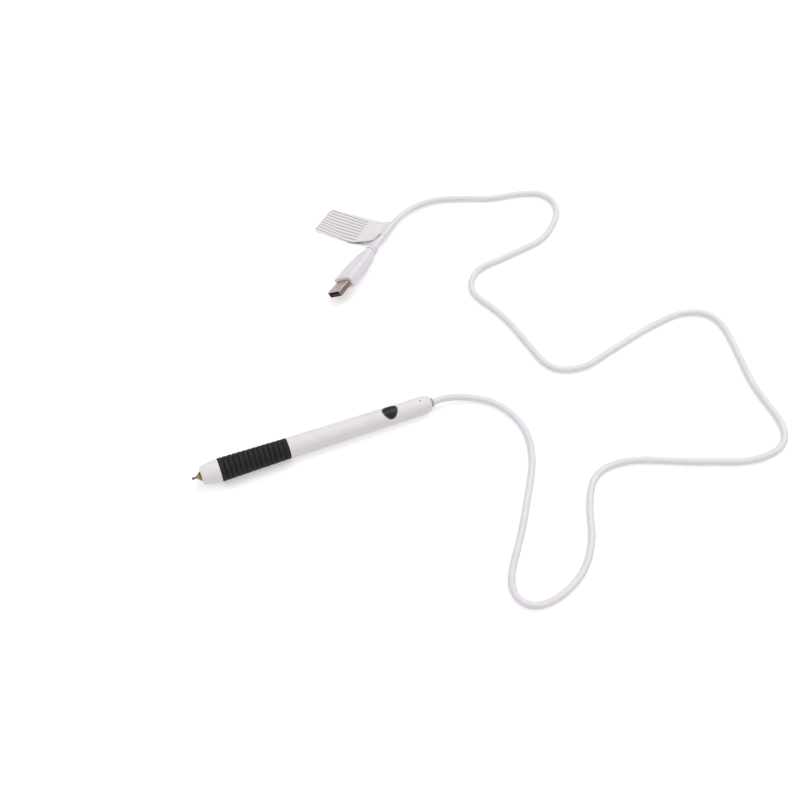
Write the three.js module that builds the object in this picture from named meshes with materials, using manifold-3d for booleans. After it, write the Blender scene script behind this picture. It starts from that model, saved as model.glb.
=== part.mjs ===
// A hot foil pen with its USB cord, plug and cord flag, lying on a surface.
// Millimetres, +Z up. The pen lies along X with its brass tip towards -X, and the origin is on the
// surface, under the middle of the pen. Stations along the pen are counted from the tip of the nib.

import * as THREE from 'three';
import { mergeVertices } from 'three/addons/utils/BufferGeometryUtils.js';
import Module from 'manifold-3d';

const wasm = await Module();
wasm.setup();

// Driving dimensions

const gap = 0.3; // clearance between neighbouring pieces
const wideSides = 32; // facets round the pieces that the hand meets
const slimSides = 20; // facets round the pieces inside
const wireSides = 8; // facets round a wire

const nib = {
  ballDia: 1.5,
  stemDia: 1.15,
  stemLength: 0.8,
  coneLength: 3.4,
  baseDia: 6.2,
  baseLength: 0.9,
  studDia: 3,
  studLength: 5.4,
};
const washer = { dia: 5.4, thickness: 0.5 };
const holder = { dia: 6, length: 15, webThickness: 1 };
const heater = { dia: 3.2, length: 28, seatDepth: 6.6 };
const frontSpacer = { dia: 8.4, length: 3 };
const shield = { wall: 0.35, length: 36 };
const rearSpacer = { length: 3, inset: 3.2 };

const nose = {
  faceDia: 11.2,
  edgeRadius: 0.8,
  rearDia: 15.4,
  crown: 0.35,
  length: 11.4,
  nibSeat: 0.4,
  faceThickness: 2.4,
  socketDepth: 3.5,
};
const grip = {
  frontDia: 15.1,
  rearDia: 13.4,
  ribs: 14,
  ribPitch: 3.18,
  grooveDepth: 0.5,
  grooveWidth: 0.9,
};
const core = { dia: 10.6, rearDia: 10, spigotLength: 12 };
const barrel = {
  frontDia: 13.6,
  rearDia: 12.2,
  length: 89.6,
  domeLength: 7.3,
  endFaceDia: 7.4,
  boreDia: 10.2,
  endThickness: 2.8,
};
const light = { fromBoreEnd: 4.8, pinholeDia: 1.1 };
const board = { length: 40, thickness: 0.8, topHeight: 3.6 };
const ledChip = { length: 0.8, width: 1.6, height: 0.6 };
const resistorChip = { length: 2, width: 1.2, height: 0.5, fromLed: 7 };
const fuseChip = { length: 3.2, width: 1.6, height: 0.8, fromLed: 24 };

const bush = { wall: 0.5, proud: 0.4 };
const clamp = { wall: 0.9, length: 1.9 };
const tailLength = 16;
const leadWire = { dia: 1, spread: 1.7 };
const coreWire = { dia: 1.1, spread: 1.9 };

const cordDia = 4.5;
const cordSides = 10;
const cordSteps = 78;

const shell = { width: 12, height: 4.5, wall: 0.3, shown: 12.4, length: 18.4 };
const insert = { tongueThickness: 1.5, blockLength: 8.2, frontInset: 0.7, grooveDepth: 0.35 };
const contact = { width: 1.1, thickness: 0.3, powerInset: 1.2, dataInset: 2.2 };
const contactOffsets = [-3.5, -1, 1, 3.5];
const overmould = {
  width: 17.3,
  height: 8.9,
  corner: 2.4,
  bellyWidth: 17.4,
  bellyHeight: 9.4,
  bellyCorner: 2.8,
  bellyFromFront: 12.6,
  rearWidth: 13.5,
  rearHeight: 8.2,
  rearCorner: 3,
  edgeRound: 0.6,
  bodyLength: 29.8,
  shoulderLength: 3.2,
  collarDia: 8.2,
  collarLength: 1.8,
  ringDias: [8, 7.4],
  ringLength: 1.6,
  grooveLength: 0.8,
  grooveDepth: 0.9,
};
const plugPlace = { x: 52, y: 107.3, yaw: 38, pitch: 1.5, roll: 39 };

const flag = {
  reach: 49.3,
  width: 23.5,
  wrapWidth: 15.5,
  neckLength: 20.5,
  neckOffset: 8.3,
  skew: 0.08,
  cornerRadius: 3,
  thickness: 0.4,
  slack: 0.75,
  restHeight: 0.45,
};
const flagPlace = { x: 109.3, y: 152.7, height: 6.2, yaw: 38.8 };

// The cord's free route between the pen and the plug, as points on its centreline
const cordRoute = [
  [105.5, -3.5, 3.2],
  [119.5, -13.5, 2.3],
  [128.5, -33.7, 2.25],
  [125.4, -57, 2.25],
  [101.4, -97.2, 2.25],
  [74.5, -138.5, 2.25],
  [79.5, -151, 2.25],
  [95, -153, 2.25],
  [118, -143, 2.25],
  [132.6, -125.8, 2.25],
  [142.4, -104.2, 2.25],
  [156, -86.8, 2.25],
  [177, -84.3, 2.25],
  [222, -102, 2.25],
  [255, -113.2, 2.25],
  [275.4, -110.8, 2.25],
  [284.8, -95, 2.25],
  [284.6, -63.8, 2.25],
  [289.3, -4, 2.25],
  [273.3, 7.2, 2.25],
  [246, 5.7, 2.25],
  [214.3, -1.7, 2.25],
  [184.8, -8.4, 2.25],
  [167, -0.7, 2.25],
  [160.5, 23.3, 2.25],
  [152.5, 58, 2.25],
  [144.5, 80, 2.25],
  [154, 95, 2.25],
  [213.7, 108.1, 2.25],
  [233.5, 127.4, 2.25],
  [231, 148, 2.25],
  [212, 155.6, 2.25],
  [194, 158.4, 2.25],
  [176, 165.4, 2.3],
  [153, 171.7, 2.7],
  [136, 169.2, 4],
  [121.5, 162.2, 5.4],
];

// Materials

function finish(color, roughness, metalness = 0) {
  return new THREE.MeshStandardMaterial({ color, roughness, metalness });
}

const whitePlastic = finish(0xf1eff0, 0.35);
const cordJacket = finish(0xece8ee, 0.45);
const blackRubber = finish(0x262425, 0.75);
const blackPlastic = finish(0x1b1a1b, 0.5);
const greyBush = finish(0xa9a3ab, 0.6);
const brass = finish(0xb8904a, 0.3, 1);
const copper = finish(0xb5714e, 0.35, 1);
const gold = finish(0xd9b25c, 0.3, 1);
const nickel = finish(0xb3aaa2, 0.35, 1);
const steel = finish(0x9a9c9f, 0.4, 1);
const ceramic = finish(0xe9e4da, 0.7);
const boardGreen = finish(0x1e5a35, 0.5);
const chipBlack = finish(0x222222, 0.5);
const ledResin = finish(0xf4e9c8, 0.3);
const redWire = finish(0xb3261f, 0.5);
const blackWire = finish(0x202020, 0.5);
const film = finish(0xf6f6f4, 0.4);

// Geometry helpers

function piece(name, geometry, material) {
  const mesh = new THREE.Mesh(geometry, material);
  mesh.name = name;
  return mesh;
}

// A turned solid along +X. The outline holds [station, radius] points, from the tip end outwards.
function turned(outline, sides) {
  const profile = outline.map(([station, radius]) => new THREE.Vector2(radius, station));
  return new THREE.LatheGeometry(profile, sides).rotateZ(-Math.PI / 2);
}

// A plain ring or tube between two stations
function tube(from, to, innerRadius, outerRadius, sides) {
  return turned(
    [
      [from, innerRadius],
      [from, outerRadius],
      [to, outerRadius],
      [to, innerRadius],
      [from, innerRadius],
    ],
    sides,
  );
}

function rod(from, to, radius, sides) {
  return turned(
    [
      [from, 0],
      [from, radius],
      [to, radius],
      [to, 0],
    ],
    sides,
  );
}

function block(length, width, height, x, y, z) {
  return new THREE.BoxGeometry(length, width, height).translate(x, y, z);
}

// Points of an arc in the (station, radius) plane, both ends included
function arc(station, radius, size, fromAngle, toAngle, steps) {
  return Array.from({ length: steps + 1 }, (_, i) => {
    const angle = fromAngle + ((toAngle - fromAngle) * i) / steps;
    return [station + size * Math.cos(angle), radius + size * Math.sin(angle)];
  });
}

function circleShape(radius, sides) {
  const points = Array.from({ length: sides }, (_, i) => {
    const angle = (2 * Math.PI * i) / sides;
    return new THREE.Vector2(radius * Math.cos(angle), radius * Math.sin(angle));
  });
  return new THREE.Shape(points);
}

// A round tube carried along a smooth curve through the points
function carriedTube(points, radius, sides, steps) {
  const path = new THREE.CatmullRomCurve3(points, false, 'centripetal');
  return new THREE.ExtrudeGeometry(circleShape(radius, sides), { steps, extrudePath: path });
}

// A closed skin through rings of [x, y, z] points of equal count, with flat ends
function loft(rings) {
  const count = rings[0].length;
  const last = rings.length - 1;
  const positions = rings.flat(2);
  const faces = [];
  for (let r = 0; r < last; r += 1) {
    for (let i = 0; i < count; i += 1) {
      const a = r * count + i;
      const b = r * count + ((i + 1) % count);
      faces.push(a, b, a + count, b, b + count, a + count);
    }
  }
  for (let i = 1; i < count - 1; i += 1) {
    faces.push(0, i + 1, i);
    faces.push(last * count, last * count + i, last * count + i + 1);
  }
  const geometry = new THREE.BufferGeometry();
  geometry.setAttribute('position', new THREE.Float32BufferAttribute(positions, 3));
  geometry.setIndex(faces);
  return geometry;
}

// A ring of points round a rounded rectangle across the plug, anticlockwise as seen from its rear
function roundedRing(x, width, height, corner) {
  const radius = Math.min(corner, height * 0.49, width * 0.49);
  const perCorner = 4;
  const points = [];
  for (let c = 0; c < 4; c += 1) {
    const ySign = c === 0 || c === 3 ? 1 : -1;
    const zSign = c < 2 ? 1 : -1;
    for (let i = 0; i < perCorner; i += 1) {
      const angle = (Math.PI / 2) * (c + i / (perCorner - 1));
      points.push([
        x,
        ySign * (width / 2 - radius) + radius * Math.cos(angle),
        zSign * (height / 2 - radius) + radius * Math.sin(angle),
      ]);
    }
  }
  return points;
}

function toSolid(geometry) {
  const bare = geometry.clone();
  bare.deleteAttribute('normal');
  bare.deleteAttribute('uv');
  const merged = mergeVertices(bare);
  return new wasm.Manifold(
    new wasm.Mesh({
      numProp: 3,
      vertProperties: new Float32Array(merged.attributes.position.array),
      triVerts: new Uint32Array(merged.index.array),
    }),
  );
}

function toGeometry(solid) {
  const mesh = solid.getMesh();
  const geometry = new THREE.BufferGeometry();
  geometry.setAttribute('position', new THREE.Float32BufferAttribute(mesh.vertProperties, 3));
  geometry.setIndex(new THREE.Uint32BufferAttribute(mesh.triVerts, 1));
  geometry.computeVertexNormals();
  return geometry;
}

function cut(geometry, ...tools) {
  const cutSolid = tools.reduce((solid, tool) => solid.subtract(toSolid(tool)), toSolid(geometry));
  return toGeometry(cutSolid);
}

// Stations along the pen, worked out from the dimensions

const at = {};
at.coneStart = nib.ballDia + nib.stemLength;
at.nibBase = at.coneStart + nib.coneLength;
at.nibShoulder = at.nibBase + nib.baseLength;
at.noseFace = at.nibShoulder - nose.nibSeat;
at.noseRear = at.noseFace + nose.length;
at.noseCavity = at.noseFace + nose.faceThickness;
at.noseSocket = at.noseRear - nose.socketDepth;
at.washerFront = at.nibShoulder + gap;
at.holderFront = at.washerFront + washer.thickness + gap;
at.holderRear = at.holderFront + holder.length;
at.holderWebRear = at.holderRear - heater.seatDepth;
at.heaterFront = at.holderWebRear + gap;
at.heaterRear = at.heaterFront + heater.length;
at.frontSpacer = at.noseCavity + gap;
at.shieldFront = at.frontSpacer + frontSpacer.length + gap;
at.shieldRear = at.shieldFront + shield.length;
at.gripFront = at.noseRear + gap;
at.gripRear = at.gripFront + grip.ribs * grip.ribPitch;
at.barrelFront = at.gripRear + gap;
at.barrelRear = at.barrelFront + barrel.length;
at.barrelEnd = at.barrelRear + barrel.domeLength;
at.boreEnd = at.barrelEnd - barrel.endThickness;
at.coreFront = at.noseSocket + gap;
at.coreRear = at.barrelFront + core.spigotLength;
at.socketEnd = at.coreRear + gap;
at.exit = at.barrelEnd + bush.proud;
at.light = at.boreEnd - light.fromBoreEnd;
at.clampRear = at.boreEnd - gap;
at.clampFront = at.clampRear - clamp.length;
at.boardRear = at.clampFront - gap;
at.boardFront = at.boardRear - board.length;
at.tailFront = at.exit - tailLength;

const bore = {
  nose: nib.baseDia / 2 + gap,
  washer: nib.studDia / 2 + gap,
  noseCavity: frontSpacer.dia / 2 + gap,
  shield: holder.dia / 2 + gap,
  heater: heater.dia / 2 + gap,
  cord: cordDia / 2 + gap,
};
const shieldRadius = bore.shield + shield.wall;
bore.core = shieldRadius + gap;
bore.grip = core.dia / 2 + gap;
bore.barrelSocket = core.rearDia / 2 + gap;
const bushRadius = bore.cord + bush.wall;
bore.barrelEnd = bushRadius + gap;

// The pen's pieces

function nibShape() {
  const ball = nib.ballDia / 2;
  const stem = nib.stemDia / 2;
  const neckAngle = Math.asin(stem / ball);
  return turned(
    [
      [0, 0],
      ...arc(ball, 0, ball, Math.PI, neckAngle, 7).slice(1),
      [at.coneStart, stem],
      [at.nibBase, nib.baseDia / 2],
      [at.nibShoulder, nib.baseDia / 2],
      [at.nibShoulder, nib.studDia / 2],
      [at.nibShoulder + nib.studLength, nib.studDia / 2],
      [at.nibShoulder + nib.studLength, 0],
    ],
    slimSides,
  );
}

function holderShape() {
  const webFront = at.holderWebRear - holder.webThickness;
  return turned(
    [
      [webFront, 0],
      [webFront, bore.washer],
      [at.holderFront, bore.washer],
      [at.holderFront, holder.dia / 2],
      [at.holderRear, holder.dia / 2],
      [at.holderRear, bore.heater],
      [at.holderWebRear, bore.heater],
      [at.holderWebRear, 0],
    ],
    slimSides,
  );
}

function noseShape() {
  const edge = nose.edgeRadius;
  const faceRadius = nose.faceDia / 2;
  const edgeEnd = at.noseFace + edge;
  const sideStart = faceRadius + edge;
  const sideRise = nose.rearDia / 2 - sideStart;
  const side = Array.from({ length: 5 }, (_, i) => {
    const t = (i + 1) / 5;
    const crown = nose.crown * Math.sin(Math.PI * t);
    return [edgeEnd + (at.noseRear - edgeEnd) * t, sideStart + sideRise * t + crown];
  });
  return turned(
    [
      [at.noseFace, bore.nose],
      ...arc(edgeEnd, faceRadius, edge, Math.PI, Math.PI / 2, 4),
      ...side,
      [at.noseRear, bore.grip],
      [at.noseSocket, bore.grip],
      [at.noseSocket, bore.noseCavity],
      [at.noseCavity, bore.noseCavity],
      [at.noseCavity, bore.nose],
      [at.noseFace, bore.nose],
    ],
    wideSides,
  );
}

// A rib is a flat-topped bead with a rounded shoulder down to the groove on each side of it
function gripShape() {
  const length = at.gripRear - at.gripFront;
  const crest = (station) => {
    const t = (station - at.gripFront) / length;
    return (grip.frontDia + (grip.rearDia - grip.frontDia) * t) / 2;
  };
  const outline = [[at.gripFront, bore.grip]];
  for (let rib = 0; rib < grip.ribs; rib += 1) {
    const from = at.gripFront + rib * grip.ribPitch;
    const to = from + grip.ribPitch;
    const half = grip.grooveWidth / 2;
    outline.push([from, crest(from) - (rib === 0 ? half * 0.4 : grip.grooveDepth)]);
    outline.push([from + half, crest(from + half)]);
    outline.push([to - half, crest(to - half)]);
  }
  outline.push([at.gripRear, crest(at.gripRear) - (grip.grooveWidth / 2) * 0.4]);
  outline.push([at.gripRear, bore.grip]);
  outline.push([at.gripFront, bore.grip]);
  return turned(outline, wideSides);
}

function coreShape() {
  return turned(
    [
      [at.coreFront, bore.core],
      [at.coreFront, core.dia / 2],
      [at.barrelFront - gap, core.dia / 2],
      [at.barrelFront - gap, core.rearDia / 2],
      [at.coreRear, core.rearDia / 2],
      [at.coreRear, bore.core],
      [at.coreFront, bore.core],
    ],
    slimSides,
  );
}

function barrelShape() {
  const endRadius = barrel.endFaceDia / 2;
  const rearRadius = barrel.rearDia / 2;
  const dome = Array.from({ length: 7 }, (_, i) => {
    const angle = ((Math.PI / 2) * i) / 6;
    return [
      at.barrelRear + barrel.domeLength * Math.sin(angle),
      endRadius + (rearRadius - endRadius) * Math.cos(angle),
    ];
  });
  const body = turned(
    [
      [at.barrelFront, bore.barrelSocket],
      [at.barrelFront, barrel.frontDia / 2],
      ...dome,
      [at.barrelEnd, bore.barrelEnd],
      [at.boreEnd, bore.barrelEnd],
      [at.boreEnd, barrel.boreDia / 2],
      [at.socketEnd, barrel.boreDia / 2],
      [at.socketEnd, bore.barrelSocket],
      [at.barrelFront, bore.barrelSocket],
    ],
    wideSides,
  );
  const drill = new THREE.CylinderGeometry(light.pinholeDia / 2, light.pinholeDia / 2, barrel.rearDia, 12)
    .rotateX(Math.PI / 2)
    .translate(at.light, 0, barrel.rearDia / 2 + board.topHeight);
  return cut(body, drill);
}

function boardWidth() {
  const reach = barrel.boreDia / 2 - gap;
  return 2 * Math.sqrt(reach * reach - board.topHeight * board.topHeight);
}

function chipShape(chip, station) {
  return block(chip.length, chip.width, chip.height, station, 0, board.topHeight + gap + chip.height / 2);
}

// A wire from the rear face of the heater to the underside of the board's front end
function leadWireShape(side) {
  const y = (side * leadWire.spread) / 2;
  const under = board.topHeight - board.thickness - gap;
  const start = at.heaterRear + gap;
  const end = at.boardFront + 3;
  const points = [
    [start, y, 0],
    [start + 8, y, 0],
    [(start + end) / 2, y, 0.2],
    [end - 8, y, 0],
    [end - 1, y, under * 0.35],
    [end, y, under],
  ];
  return carriedTube(
    points.map((p) => new THREE.Vector3(...p)),
    leadWire.dia / 2,
    wireSides,
    30,
  );
}

// A wire from the end of the cord's tail up to the underside of the board
function coreWireShape(side) {
  const y = (side * coreWire.spread) / 2;
  const under = board.topHeight - board.thickness - gap;
  const start = at.tailFront - gap;
  const points = [
    [start, y, 0],
    [start - 2.5, y, 0],
    [start - 6, y, under * 0.45],
    [start - 7, y, under],
  ];
  return carriedTube(
    points.map((p) => new THREE.Vector3(...p)),
    coreWire.dia / 2,
    wireSides,
    14,
  );
}

function heatedEnd() {
  const group = new THREE.Group();
  const washerRear = at.washerFront + washer.thickness;
  const spacerRear = at.frontSpacer + frontSpacer.length;
  const rearSpacerEnd = at.heaterRear - rearSpacer.inset;
  group.add(
    piece('nib', nibShape(), brass),
    piece(
      'nib_washer',
      tube(at.washerFront, washerRear, bore.washer, washer.dia / 2, slimSides),
      copper,
    ),
    piece('nib_holder', holderShape(), brass),
    piece('heater_rod', rod(at.heaterFront, at.heaterRear, heater.dia / 2, slimSides), ceramic),
    piece(
      'front_spacer',
      tube(at.frontSpacer, spacerRear, bore.shield, frontSpacer.dia / 2, slimSides),
      ceramic,
    ),
    piece('heat_shield', tube(at.shieldFront, at.shieldRear, bore.shield, shieldRadius, slimSides), steel),
    piece(
      'rear_spacer',
      tube(rearSpacerEnd - rearSpacer.length, rearSpacerEnd, bore.heater, bore.shield - gap, slimSides),
      ceramic,
    ),
  );
  return group;
}

function housing() {
  const group = new THREE.Group();
  group.add(
    piece('nose_cone', noseShape(), whitePlastic),
    piece('grip_sleeve', gripShape(), blackRubber),
    piece('grip_core', coreShape(), whitePlastic),
    piece('barrel', barrelShape(), whitePlastic),
    piece('cord_bush', tube(at.boreEnd, at.exit, bore.cord, bushRadius, slimSides), greyBush),
  );
  return group;
}

function electrics() {
  const group = new THREE.Group();
  const boardMiddle = (at.boardFront + at.boardRear) / 2;
  const boardHeight = board.topHeight - board.thickness / 2;
  const tailRadius = cordDia / 2;
  group.add(
    piece(
      'circuit_board',
      block(board.length, boardWidth(), board.thickness, boardMiddle, 0, boardHeight),
      boardGreen,
    ),
    piece('led', chipShape(ledChip, at.light), ledResin),
    piece('resistor', chipShape(resistorChip, at.light - resistorChip.fromLed), chipBlack),
    piece('fuse', chipShape(fuseChip, at.light - fuseChip.fromLed), chipBlack),
    piece('lead_wire_supply', leadWireShape(1), redWire),
    piece('lead_wire_return', leadWireShape(-1), blackWire),
    piece('cord_tail', rod(at.tailFront, at.exit, tailRadius, slimSides), cordJacket),
    piece(
      'cord_clamp',
      tube(at.clampFront, at.clampRear, bore.cord, bore.cord + clamp.wall, slimSides),
      steel,
    ),
    piece('core_wire_supply', coreWireShape(1), redWire),
    piece('core_wire_return', coreWireShape(-1), blackWire),
  );
  return group;
}

// The plug's pieces. X runs from the mouth of the shell towards the cord.

function shellShape() {
  const half = new THREE.Vector2(shell.width / 2, shell.height / 2);
  const outline = new THREE.Shape([
    new THREE.Vector2(-half.x, -half.y),
    new THREE.Vector2(half.x, -half.y),
    new THREE.Vector2(half.x, half.y),
    new THREE.Vector2(-half.x, half.y),
  ]);
  const inner = half.clone().subScalar(shell.wall);
  outline.holes.push(
    new THREE.Path([
      new THREE.Vector2(-inner.x, -inner.y),
      new THREE.Vector2(-inner.x, inner.y),
      new THREE.Vector2(inner.x, inner.y),
      new THREE.Vector2(inner.x, -inner.y),
    ]),
  );
  return new THREE.ExtrudeGeometry(outline, { depth: shell.length, bevelEnabled: false })
    .rotateZ(Math.PI / 2)
    .rotateY(Math.PI / 2);
}

const tongue = {};
tongue.width = shell.width - 2 * (shell.wall + gap);
tongue.blockHeight = shell.height - 2 * (shell.wall + gap);
tongue.blockFront = shell.length - insert.blockLength;
tongue.base = -tongue.blockHeight / 2;
tongue.face = tongue.base + insert.tongueThickness;

function insertShape() {
  const side = new THREE.Shape([
    new THREE.Vector2(insert.frontInset, tongue.base),
    new THREE.Vector2(shell.length, tongue.base),
    new THREE.Vector2(shell.length, -tongue.base),
    new THREE.Vector2(tongue.blockFront, -tongue.base),
    new THREE.Vector2(tongue.blockFront, tongue.face),
    new THREE.Vector2(insert.frontInset, tongue.face),
  ]);
  const body = new THREE.ExtrudeGeometry(side, { depth: tongue.width, bevelEnabled: false })
    .rotateX(Math.PI / 2)
    .translate(0, tongue.width / 2, 0);
  const grooves = contactOffsets.map((offset) => {
    const width = contact.width + 2 * gap;
    const depth = insert.grooveDepth;
    const length = tongue.blockFront - gap - insert.frontInset;
    return block(length, width, 2 * depth, insert.frontInset + length / 2, offset, tongue.face);
  });
  return cut(body, ...grooves);
}

function contactShape(offset, index) {
  const isPower = index === 0 || index === contactOffsets.length - 1;
  const from = insert.frontInset + (isPower ? contact.powerInset : contact.dataInset);
  const to = tongue.blockFront - 2 * gap;
  const height = tongue.face - insert.grooveDepth + gap + contact.thickness / 2;
  return block(to - from, contact.width, contact.thickness, (from + to) / 2, offset, height);
}

const plugAt = {};
plugAt.face = shell.shown + overmould.edgeRound;
plugAt.belly = shell.shown + overmould.bellyFromFront;
plugAt.shoulder = shell.shown + overmould.bodyLength;
plugAt.collar = plugAt.shoulder + overmould.shoulderLength;
plugAt.collarEnd = plugAt.collar + overmould.collarLength;
plugAt.end = plugAt.collarEnd
  + overmould.ringDias.length * (overmould.grooveLength + overmould.ringLength);

// The body's sections as [station, width, height, corner]: behind its front edge, widest, rear
const bodySections = [
  [plugAt.face, overmould.width, overmould.height, overmould.corner],
  [plugAt.belly, overmould.bellyWidth, overmould.bellyHeight, overmould.bellyCorner],
  [plugAt.shoulder, overmould.rearWidth, overmould.rearHeight, overmould.rearCorner],
];

function overmouldShape() {
  const o = overmould;
  const round = (x, dia) => roundedRing(x, dia, dia, dia / 2);
  const front = shell.shown;
  const rings = [
    roundedRing(front, o.width - o.edgeRound, o.height - o.edgeRound, o.corner),
    ...bodySections.map((section) => roundedRing(...section)),
    round(plugAt.collar, o.collarDia),
    round(plugAt.collarEnd, o.collarDia),
  ];
  let x = plugAt.collarEnd;
  for (const dia of o.ringDias) {
    rings.push(round(x + o.grooveLength * 0.25, dia - 2 * o.grooveDepth));
    rings.push(round(x + o.grooveLength * 0.75, dia - 2 * o.grooveDepth));
    rings.push(round(x + o.grooveLength, dia));
    x += o.grooveLength + o.ringLength;
    rings.push(round(x, dia));
  }
  const hidden = shell.length - shell.shown + gap;
  const socket = block(
    2 * hidden,
    shell.width + 2 * gap,
    shell.height + 2 * gap,
    front,
    0,
    0,
  );
  return cut(loft(rings), socket);
}

// The height of the shell's mouth above the surface, where the overmould is rolled over onto its
// long edge and rests on the section of its body that reaches lowest
function mouthHeight() {
  const pitch = THREE.MathUtils.degToRad(plugPlace.pitch);
  const roll = THREE.MathUtils.degToRad(plugPlace.roll);
  const heights = bodySections.map(([station, width, height, corner]) => (
    (width / 2 - corner) * Math.sin(roll)
    + (height / 2 - corner) * Math.cos(roll)
    + corner
    + station * Math.sin(pitch)
  ));
  return Math.max(...heights);
}

function plug() {
  const group = new THREE.Group();
  const pitch = THREE.MathUtils.degToRad(plugPlace.pitch);
  const yaw = THREE.MathUtils.degToRad(plugPlace.yaw);
  const roll = THREE.MathUtils.degToRad(plugPlace.roll);
  group.add(
    piece('usb_shell', shellShape(), nickel),
    piece('usb_insert', insertShape(), blackPlastic),
    piece('plug_overmould', overmouldShape(), cordJacket),
  );
  contactOffsets.forEach((offset, index) => {
    group.add(piece(`usb_contact_${index + 1}`, contactShape(offset, index), gold));
  });
  group.position.set(plugPlace.x, plugPlace.y, mouthHeight());
  group.rotation.set(-roll, pitch, yaw, 'ZYX');
  return group;
}

// The cord flag: a film wrapped round the cord, whose two leaves lie on the surface as one.
// Its section is drawn across the cord, with the reach towards +X of the drawing and height upwards.
function flagSection() {
  const inner = cordDia / 2 + flag.slack;
  const half = flag.thickness / 2;
  const start = inner + half;
  const fall = Array.from({ length: 9 }, (_, i) => {
    const t = i / 8;
    const ease = (1 + Math.cos(Math.PI * t)) / 2;
    return [
      start + t * (flag.neckLength - start),
      flag.restHeight + (flagPlace.height - flag.restHeight) * ease,
    ];
  });
  const middle = [...fall, [flag.reach, flag.restHeight]];
  const upper = middle.map(([x, z]) => new THREE.Vector2(x, z + half));
  const lower = middle.map(([x, z]) => new THREE.Vector2(x, z - half)).reverse();
  return new THREE.Shape([...lower, ...upper]);
}

// The film's outline from above: a wrap, an oblique neck and a wide end with rounded corners
function flagOutline() {
  const loop = cordDia / 2 + flag.slack + flag.thickness;
  const wrap = flag.wrapWidth / 2;
  const half = flag.width / 2;
  const round = flag.cornerRadius;
  const middle = (x) => flag.neckOffset + flag.skew * (x - flag.neckLength);
  const tip = flag.reach - round;
  const points = [
    [-2 * loop, -wrap],
    [loop, -wrap],
    [flag.neckLength * 0.5, middle(flag.neckLength) - half - 0.5],
    [flag.neckLength, middle(flag.neckLength) - half],
    ...arc(tip, middle(tip) - half + round, round, -Math.PI / 2, 0, 5),
    ...arc(tip, middle(tip) + half - round, round, 0, Math.PI / 2, 5),
    [flag.neckLength, middle(flag.neckLength) + half],
    [loop * 1.4, wrap + 6],
    [loop, wrap],
    [-2 * loop, wrap],
  ];
  return new THREE.Shape(points.map(([x, y]) => new THREE.Vector2(x, y)));
}

function flagShape() {
  const inner = cordDia / 2 + flag.slack;
  const broad = 4 * flag.width;
  const leaf = new THREE.ExtrudeGeometry(flagSection(), { depth: broad, bevelEnabled: false })
    .rotateX(Math.PI / 2)
    .translate(0, broad / 2, 0);
  const wrap = new THREE.Shape();
  wrap.absarc(0, 0, inner + flag.thickness, 0, 2 * Math.PI);
  const hole = new THREE.Path();
  hole.absarc(0, 0, inner, 0, 2 * Math.PI, true);
  wrap.holes.push(hole);
  const loop = new THREE.ExtrudeGeometry(wrap, { depth: broad, bevelEnabled: false, curveSegments: 20 })
    .rotateX(Math.PI / 2)
    .translate(0, broad / 2, flagPlace.height);
  const depth = 4 * flagPlace.height;
  const cutter = new THREE.ExtrudeGeometry(flagOutline(), { depth, bevelEnabled: false })
    .translate(0, 0, -depth / 2);
  return toGeometry(toSolid(leaf).add(toSolid(loop)).intersect(toSolid(cutter)));
}

function cordFlag() {
  const mesh = piece('cord_tag', flagShape(), film);
  mesh.position.set(flagPlace.x, flagPlace.y, 0);
  mesh.rotation.z = THREE.MathUtils.degToRad(flagPlace.yaw + 90);
  return mesh;
}

// The free cord runs straight out of the bush, along its route, and straight into the plug
function cordShape(penGroup, plugGroup) {
  const lead = 2 * cordDia;
  const exit = [at.exit + gap, at.exit + gap + lead].map((x) => {
    return new THREE.Vector3(x, 0, 0).applyMatrix4(penGroup.matrixWorld);
  });
  const entry = [plugAt.end + gap + lead, plugAt.end + gap].map((x) => {
    return new THREE.Vector3(x, 0, 0).applyMatrix4(plugGroup.matrixWorld);
  });
  const middle = cordRoute.map((p) => new THREE.Vector3(...p));
  return carriedTube([...exit, ...middle, ...entry], cordDia / 2, cordSides, cordSteps);
}

// The pen leans on the rear rim of its nose and on the rear end of its barrel
function pen() {
  const group = new THREE.Group();
  group.add(heatedEnd(), housing(), electrics());
  const span = at.barrelRear - at.noseRear;
  group.rotation.y = Math.atan((nose.rearDia - barrel.rearDia) / 2 / span);
  group.updateMatrixWorld(true);
  const box = new THREE.Box3().setFromObject(group, true);
  group.position.set(-(box.min.x + box.max.x) / 2, 0, -box.min.z);
  group.updateMatrixWorld(true);
  return group;
}

const foilPen = new THREE.Group();
const penBody = pen();
const plugBody = plug();
plugBody.updateMatrixWorld(true);
foilPen.add(penBody, plugBody, cordFlag());
foilPen.add(piece('cord', cordShape(penBody, plugBody), cordJacket));

export default foilPen;
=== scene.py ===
"""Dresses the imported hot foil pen: the pen, its cord, its plug and the film flag on the cord.

Sizes are in millimetres and become metres when a mesh is made. Stations are counted along the pen
from the ball of its tip, and along the plug from the mouth of its shell.
"""

import functools
import logging
from collections.abc import Callable
from dataclasses import dataclass, field
from enum import Enum

import bpy
import numpy as np
from mathutils import Euler, Matrix


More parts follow.
